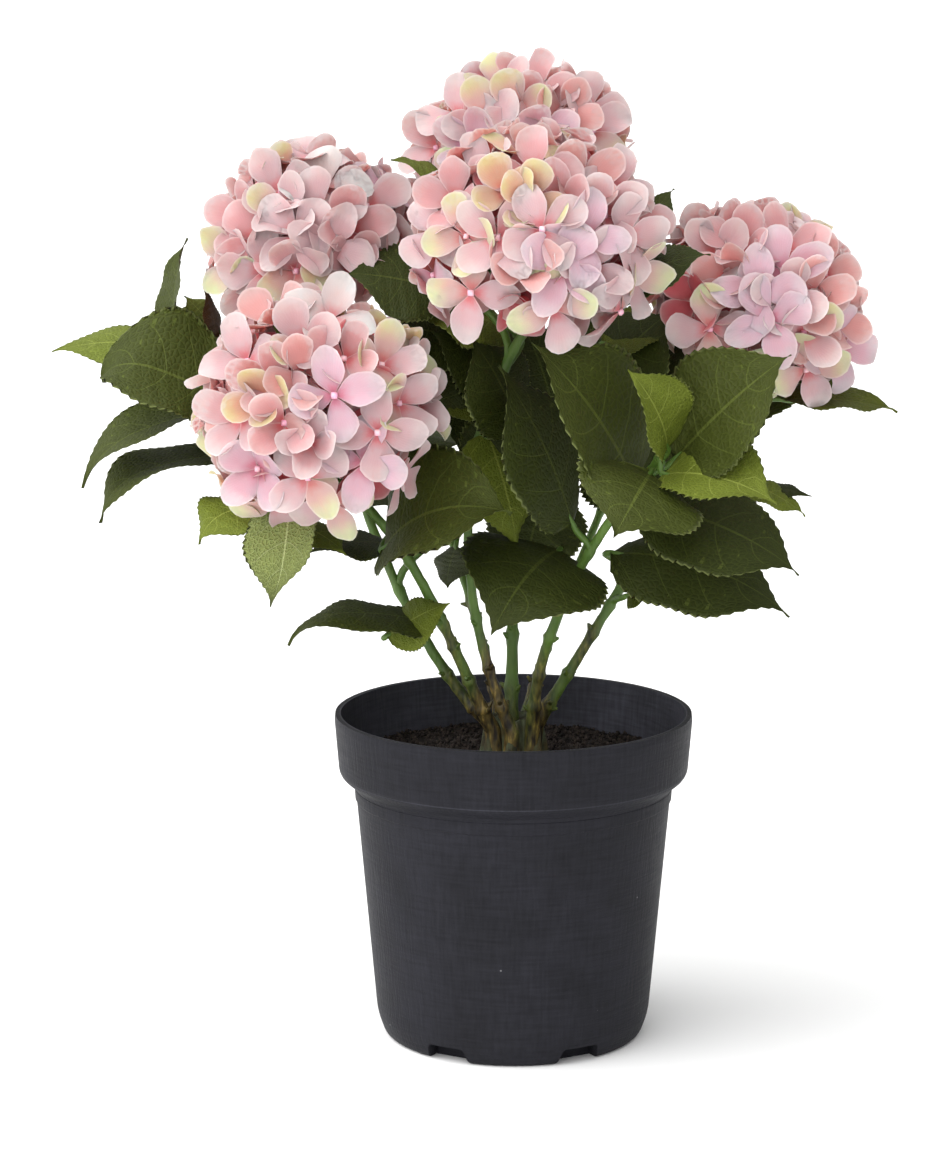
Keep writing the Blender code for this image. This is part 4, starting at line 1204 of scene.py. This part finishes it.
def petal_tree():
    """Sets a petal on every point, by the point's own turn, shape, size and finish."""
    sizes = (("Shapes", "Collection", None), ("Size", "Float", 1.0), ("Size Spread", "Float", 0.06),
             ("Map Cells", "Int", PETAL_CELLS), ("Seed", "Int", 7))
    tree, given = new_tree("petal_setting", sizes)
    shapes = add(tree, "GeometryNodeCollectionInfo",
                 {"Collection": given["Shapes"], "Separate Children": True, "Reset Children": True})
    shape = add(tree, "GeometryNodeInputNamedAttribute", {"Name": "shape"}, data_type="INT")
    turn = add(tree, "GeometryNodeInputNamedAttribute", {"Name": "turn"}, data_type="FLOAT_VECTOR")
    turn = add(tree, "FunctionNodeEulerToRotation", [turn])
    size = add(tree, "GeometryNodeInputNamedAttribute", {"Name": "size"}, data_type="FLOAT")
    least = add(tree, "Math SUBTRACT", [given["Size"], given["Size Spread"]])
    most = add(tree, "Math ADD", [given["Size"], given["Size Spread"]])
    varied = add(tree, "FunctionNodeRandomValue", {2: least, 3: most, "Seed": given["Seed"]}, out=1,
                 data_type="FLOAT")
    size = add(tree, "Math MULTIPLY", [size, varied])
    petals = add(tree, "GeometryNodeInstanceOnPoints",
                 {"Points": given["Geometry"], "Instance": shapes, "Pick Instance": True,
                  "Instance Index": shape, "Rotation": turn, "Scale": size})
    real = add(tree, "GeometryNodeRealizeInstances", [petals])
    kind = add(tree, "GeometryNodeInputNamedAttribute", {"Name": "kind"}, data_type="INT")
    own = add(tree, "GeometryNodeInputNamedAttribute", {"Name": MAP}, data_type="FLOAT_VECTOR")
    column = add(tree, "Math MODULO", [kind, given["Map Cells"]])
    line = add(tree, "Math DIVIDE", [kind, given["Map Cells"]])
    line = add(tree, "Math FLOOR", [line])
    cell = add(tree, "CombineXYZ", [column, line])
    spot = add(tree, "VectorMath ADD", [own, cell])
    share = add(tree, "Math DIVIDE", [1.0, given["Map Cells"]])
    spot = add(tree, "VectorMath SCALE", {0: spot, "Scale": share})
    real = add(tree, "GeometryNodeStoreNamedAttribute", {"Geometry": real, "Name": MAP, "Value": spot},
               data_type="FLOAT2", domain="CORNER")
    real = add(tree, "GeometryNodeSetShadeSmooth", [real])
    for number, material in enumerate(PETAL_FINISHES):
        its_own = add(tree, "FunctionNodeCompare", {2: kind, 3: number}, data_type="INT", operation="EQUAL")
        real = add(tree, "GeometryNodeSetMaterial", {0: real, "Selection": its_own, "Material": material})
    add(tree, "NodeGroupOutput", [real], out=None)
    return tree


def knob_shape():
    """The four-lobed knob in the middle of a floret, as a low button of a few faces."""
    rows = ((0.0, 1.35), (0.9, 1.65), (1.7, 1.15), (2.1, 0.0))
    sides = 8
    points = []
    for z, r in rows:
        for k in range(sides):
            lobe = r * (1.0 if k % 2 else 0.78)
            points.append((*(lobe * c for c in around(math.tau * k / sides)), z))
    faces = bands(len(rows) - 1, sides)
    faces.append(tuple(reversed(range(sides))))
    thing = mesh_object("knob", points, faces)
    thing.data.uv_layers.new(name=MAP)
    return closed(thing, 0.01)


def head_frame(name):
    """A head's middle, its ways up and to two sides, its radius and its height to its width."""
    centre, way, radius, squash = HEADS[name]
    up = Vector(way).normalized()
    side = Vector((0, 1, 0)).cross(up).normalized()
    return Vector(centre), up, side, up.cross(side), radius, squash


# florets in view: share of the radius to the right and up of the head's middle, how far it is
# turned to the viewer, spin in degrees, finish, petal lift in degrees, size
SHOWN_FLORETS = {
    "left_front": (
        (0.19, 0.10, 1.0, 12, LILAC, 4, 1.02), (0.57, -0.22, 0.7, 2, BLUSH, 10, 1.00),
        (0.44, -0.49, 0.8, -10, LILAC, 8, 1.00), (-0.05, -0.62, 0.7, 40, CREAM, 12, 0.92),
        (-0.28, -0.15, 0.9, 45, ROSE, 32, 0.96), (-0.74, -0.10, 0.5, 60, BLUSH, 34, 1.00),
        (-0.58, -0.60, 0.5, 50, LILAC, 38, 1.02), (-0.66, 0.46, 0.5, 10, BLUSH, 26, 1.00),
        (-0.44, 0.26, 0.7, 75, ROSE, 40, 1.02), (-0.52, 0.08, 0.7, 20, PEACH, 46, 0.94),
        (-0.12, 0.64, 0.6, 30, CREAM, 34, 0.98), (0.14, 0.86, 0.5, 70, PALE, 20, 1.00),
        (0.66, 0.44, 0.5, 0, CREAM, 38, 0.96), (0.82, 0.06, 0.4, 45, CREAM, 36, 0.96),
        (0.30, 0.50, 0.6, 60, ROSE, 44, 0.94), (-0.12, 0.32, 0.8, 15, SALMON, 42, 0.96),
        (-0.04, -0.36, 0.8, 80, BLUSH, 56, 0.92), (0.16, -0.86, 0.4, 20, CREAM, 24, 0.92),
    ),
    "centre": (
        (0.06, 0.02, 1.0, 32, CREAM, 8, 1.00), (-0.38, -0.05, 0.6, 45, BLUSH, 24, 1.06),
        (0.46, -0.06, 0.7, 0, LILAC, 16, 0.98), (0.23, -0.33, 0.7, 62, LILAC, 18, 1.02),
        (-0.03, 0.62, 0.7, 5, ROSE, 14, 1.02), (-0.32, 0.44, 0.8, 30, PEACH, 44, 0.94),
        (-0.06, 0.36, 0.8, 70, PEACH, 40, 0.92), (0.28, 0.36, 0.7, 20, ROSE, 58, 0.94),
        (0.52, 0.60, 0.6, 40, SALMON, 44, 1.00), (0.80, 0.46, 0.4, 10, BLUSH, 18, 1.00),
        (0.70, 0.20, 0.6, 35, CREAM, 30, 1.00), (0.84, -0.02, 0.4, 15, BLUSH, 20, 0.98),
        (-0.88, 0.06, 0.4, 40, BLUSH, 14, 1.00), (-0.80, 0.36, 0.5, 75, ROSE, 30, 0.98),
        (-0.68, -0.02, 0.5, 10, CREAM, 36, 0.94), (-0.55, -0.50, 0.5, 2, CREAM, 6, 1.00),
        (-0.08, -0.30, 0.8, 20, SALMON, 50, 0.94), (0.16, -0.66, 0.6, 15, CREAM, 12, 0.98),
        (0.50, -0.34, 0.5, 70, BLUSH, 26, 0.96),
    ),
    "top_back": (
        (0.22, 0.20, 0.8, 25, MAGENTA, 46, 1.00), (-0.54, 0.12, 0.6, 60, MAGENTA, 34, 1.00),
        (-0.05, 0.50, 0.7, 30, CREAM, 34, 0.98), (0.24, 0.60, 0.5, 45, ROSE, 46, 1.00),
        (-0.40, 0.42, 0.6, 20, CREAM, 28, 0.98), (0.48, 0.48, 0.6, 70, SALMON, 40, 0.98),
        (0.70, 0.54, 0.4, 5, BLUSH, 16, 1.00), (0.74, 0.30, 0.5, 40, CREAM, 20, 1.00),
        (-0.24, 0.80, 0.3, 15, CREAM, 30, 0.96), (0.04, 0.84, 0.3, 50, ROSE, 36, 0.98),
        (-0.90, 0.14, 0.4, 30, CREAM, 30, 0.96), (-0.66, 0.44, 0.4, 0, BLUSH, 16, 1.00),
    ),
    "left_back": (
        (0.18, 0.60, 0.6, 5, PALE, 22, 1.02), (0.66, 0.40, 0.6, 40, BLUSH, 18, 1.02),
        (-0.34, 0.60, 0.5, 30, BLUSH, 28, 1.00), (-0.30, 0.34, 0.4, 60, CREAM, 40, 0.96),
        (0.12, 0.30, 0.3, 10, BLUSH, 16, 1.02), (-0.14, 0.02, 0.5, 45, BLUSH, 14, 1.02),
        (0.24, -0.10, 0.3, 70, CREAM, 24, 1.00), (0.50, 0.10, 0.4, 20, ROSE, 30, 1.02),
        (-0.62, -0.02, 0.6, 35, ROSE, 26, 1.02), (-0.50, -0.34, 0.7, 0, BLUSH, 18, 1.02),
        (-0.84, -0.22, 0.4, 50, CREAM, 30, 0.96), (-0.58, -0.60, 0.5, 25, CREAM, 34, 0.96),
        (-0.76, 0.24, 0.4, 70, ROSE, 34, 1.00), (-0.14, -0.38, 0.5, 30, CREAM, 30, 1.00),
        (0.52, -0.30, 0.6, 65, ROSE, 36, 0.96),
    ),
    "right": (
        (-0.02, 0.09, 0.9, 5, LILAC, 10, 1.04), (0.27, 0.34, 0.7, 18, LILAC, 12, 1.06),
        (0.10, -0.20, 0.9, 25, LILAC, 14, 1.04), (-0.50, 0.58, 0.5, 35, BLUSH, 42, 1.02),
        (-0.38, 0.30, 0.7, 60, SALMON, 58, 1.00), (0.62, 0.08, 0.6, 10, SALMON, 32, 1.02),
        (0.52, -0.34, 0.6, 40, CREAM, 44, 0.96), (0.84, -0.44, 0.4, 0, LILAC, 16, 1.00),
        (0.52, -0.68, 0.5, 20, CREAM, 22, 0.98), (0.88, -0.14, 0.4, 65, SALMON, 38, 0.96),
        (-0.48, -0.27, 0.7, 5, CREAM, 14, 0.98), (0.34, 0.66, 0.4, 30, ROSE, 30, 1.00),
        (-0.20, 0.70, 0.4, 70, ROSE, 44, 0.98), (-0.72, 0.02, 0.5, 45, SHADE_PAINTED_DEEP, 50, 0.96),
        (0.78, 0.36, 0.4, 15, SALMON, 26, 0.98), (0.30, 0.04, 0.7, 75, BLUSH, 30, 0.94),
    ),
}
VIEW_PITCH = math.radians(-CAMERA_PITCH)
VIEW_UP = Vector((0, math.sin(VIEW_PITCH), math.cos(VIEW_PITCH)))
VIEW_BACK = Vector((0, -math.cos(VIEW_PITCH), math.sin(VIEW_PITCH)))
SKIN_DEPTH = 1.0           # how far inside the head's round the petals' tips end
INNER_DEPTH = 9.0          # how far under the outer florets the inner ones stand
ROOM_FOR_SHOWN = 17.0      # no other outer floret stands nearer than this to one in view
EASED_LIFT = 8             # degrees; the lift of a floret in view is eased towards this
LIFT_KEPT = 0.6
FLAT_UNDER, BOWL_UNDER = 19, 34  # the lifts where a floret in view takes the next set of shapes
# how much chance there is in the places of the other florets, all as a seeded random draw
PLACE_TURN = 0.12          # of the turn round the head, either way, in radians
LAYER_TURN = 1.3           # how far the inner florets are turned against the outer ones
PLACE_DEPTH = (-4.0, 1.0)
SIZES = (0.88, 1.04)
FACE_LEAN = 0.24
# and in a floret's petals
PETAL_TURN = 0.10
PETAL_LIFT = (-12, 10)     # degrees
PETAL_ROLL = 0.24
SEAT_RADIUS = 0.5          # how far from the knob's middle a petal is set
UPPER_PAIR = 0.35          # how far every second petal stands over its neighbours
CREAM_SHARE = 0.45         # of the petals in a cream floret; the others stay blush
# how often a floret's petals are lifted by so many degrees, and the shapes it then picks from
STYLES = ((0.36, 6, 20, FLAT), (0.80, 20, 34, BOWL), (0.94, 34, 46, TIGHT), (1.0, -18, -6, BACK))
# how often the inner and the outer florets have each finish, each share added to the ones before
# the inner florets take deeper, redder finishes as painted shade under the outer ones
INNER_SHADE_MIX = ((0.45, SHADE_PAINTED_DEEP), (0.85, SALMON), (1.0, ROSE))
OUTER_MIX = ((0.28, BLUSH), (0.50, ROSE), (0.70, CREAM), (0.82, SALMON), (0.88, PALE), (0.94, PEACH),
             (1.0, LILAC))


def seat_depth(radius, lift, size):
    """How far from the head's middle a floret sits, so that its petals end on the round."""
    wide, out = (PETAL_LENGTH * size * c for c in around(math.radians(lift)))
    return min(math.sqrt(max(0, radius ** 2 - wide ** 2)) - out, radius - 3)


def chosen(table, share):
    """The rest of the first row that the share is under."""
    return next(row[1:] for row in table if share < row[0])


def florets(name):
    """Every floret of a head: middle, way it faces, spin, finish, lift in degrees, petals, size."""
    centre, up, side, other, radius, squash = head_frame(name)
    rng = random.Random(name + HEAD_SEED)
    placed = []
    for right, high, facing, spin, kind, lift, size in SHOWN_FLORETS[name]:
        deep = math.sqrt(max(0.0, 1 - right * right - high * high))
        way = (Vector((right, 0, 0)) + VIEW_UP * high + VIEW_BACK * deep).normalized()
        face = way.lerp(VIEW_BACK, facing).normalized()
        lift = EASED_LIFT + LIFT_KEPT * (lift - EASED_LIFT)
        flatten = squash + (1 - squash) * (1 - abs(way.dot(up)))
        reach = seat_depth(radius - SKIN_DEPTH, lift, size) * flatten
        shapes = FLAT if lift < FLAT_UNDER else BOWL if lift < BOWL_UNDER else TIGHT
        placed.append((centre + way * reach, face, math.radians(spin), kind, lift, shapes, size))
    shown = [floret[0] for floret in placed]
    low = math.cos(math.radians(HEAD_OPEN))
    for layer, count in ((0, OUTER_FLORETS), (1, INNER_FLORETS)):
        for k in range(count):
            h = 1 - (k + 0.5) / count * (1 - low)
            a = k * GOLDEN + rng.uniform(-PLACE_TURN, PLACE_TURN) + layer * LAYER_TURN
            r = math.sqrt(1 - h * h)
            least, most, shapes = chosen(STYLES, rng.random())
            lift = rng.uniform(least, most)
            size = rng.uniform(*SIZES)
            skin = radius - SKIN_DEPTH + rng.uniform(*PLACE_DEPTH) - INNER_DEPTH * layer
            reach = seat_depth(skin, lift, size)
            way = side * (r * math.cos(a)) + other * (r * math.sin(a))
            at = centre + way * reach + up * (h * reach * squash)
            face = (way + up * (h / squash)).normalized()
            face = face + side * rng.uniform(-FACE_LEAN, FACE_LEAN)
            face = (face + other * rng.uniform(-FACE_LEAN, FACE_LEAN)).normalized()
            spin = rng.uniform(0, math.pi / 2)
            kind, = chosen(INNER_SHADE_MIX if layer else OUTER_MIX, rng.random())
            if layer or all((at - point).length >= ROOM_FOR_SHOWN for point in shown):
                placed.append((at, face, spin, kind, lift, shapes, size))
    return placed


def set_on(name, tree, shapes, settings):
    """A piece with one of the shapes at each setting: point, turn, finish, shape and size."""
    points, turns, kinds, picks, sizes = zip(*settings)
    thing = mesh_object(name, points)
    point_values(thing, "turn", "FLOAT_VECTOR", [tuple(turn.to_euler()) for turn in turns])
    for label, kind, values in (("kind", "INT", kinds), ("shape", "INT", picks), ("size", "FLOAT", sizes)):
        point_values(thing, label, kind, values)
    return grown(thing, tree, {"Shapes": shapes})


def petal_settings(floret, rng):
    """Where and how a floret's four petals are set; the second pair lies on the first."""
    at, face, spin, kind, lift, choice, size = floret
    east = face.cross(Vector((0.31, 0.52, 0.79))).normalized()
    if abs(face.dot(VIEW_BACK)) > 0.3:
        east = (Vector((1, 0, 0)) - face * face.x).normalized()
    base = Matrix((east, face.cross(east), face)).transposed()
    petals = []
    for p in range(4):
        angle = spin + p * math.pi / 2 + rng.uniform(-PETAL_TURN, PETAL_TURN)
        tip_up = math.radians(lift + rng.uniform(*PETAL_LIFT))
        turn = base @ Matrix.Rotation(angle - math.pi / 2, 3, "Z") @ Matrix.Rotation(tip_up, 3, "X")
        turn = turn @ Matrix.Rotation(rng.uniform(-PETAL_ROLL, PETAL_ROLL), 3, "Y")
        point = at + base @ Vector((*around(angle), 0)) * SEAT_RADIUS + face * (UPPER_PAIR if p % 2 else 0.0)
        plain = kind == CREAM and rng.random() > CREAM_SHARE
        petals.append((point, turn, BLUSH if plain else kind, rng.choice(choice), size))
    return base, petals


def make_heads():
    """The petals of each head, then the stalks and knobs of all the florets."""
    shapes = bpy.data.collections.new("petal_shapes")
    bpy.context.scene.collection.children.link(shapes)
    for number, row in enumerate(PETAL_SHAPES):
        thing = petal_shape(number, row)
        bpy.context.scene.collection.objects.unlink(thing)
        shapes.objects.link(thing)
    tree = petal_tree()
    rays = []
    knobs = []
    for name in HEADS:
        rng = random.Random(name)
        centre, up, side, other, radius, squash = head_frame(name)
        hub = centre - up * (radius * HUB_DEPTH)
        settings = []
        for floret in florets(name):
            base, petals = petal_settings(floret, rng)
            settings.extend(petals)
            at, face = floret[:2]
            knobs.append((at, base, 0, 0, floret[-1]))
            rays.append([(hub, 1.0), (hub * 0.35 + at * 0.65 - face * 3, 0.7), (at, 0.8)])
        worn_by(set_on("petals_" + name, tree, shapes, settings), "petal_cloth", "flower_head_" + name)
    for thing in list(shapes.objects):
        bpy.data.objects.remove(thing)
    worn_by(limbs_object("floret_stalks", rays, FLORET_STALK_SIDES, 0.0), "stem_green")
    button = knob_shape()
    shapes.objects.link(button)
    bpy.context.scene.collection.objects.unlink(button)
    dots = set_on("floret_knobs", tree, shapes, knobs)
    dressed(dots, KNOB_FINISH)
    dots.data.uv_layers.remove(dots.data.uv_layers[MAP])
    worn_by(dots, "petal_cloth")
    bpy.data.objects.remove(button)
    bpy.data.collections.remove(shapes)


make_heads()
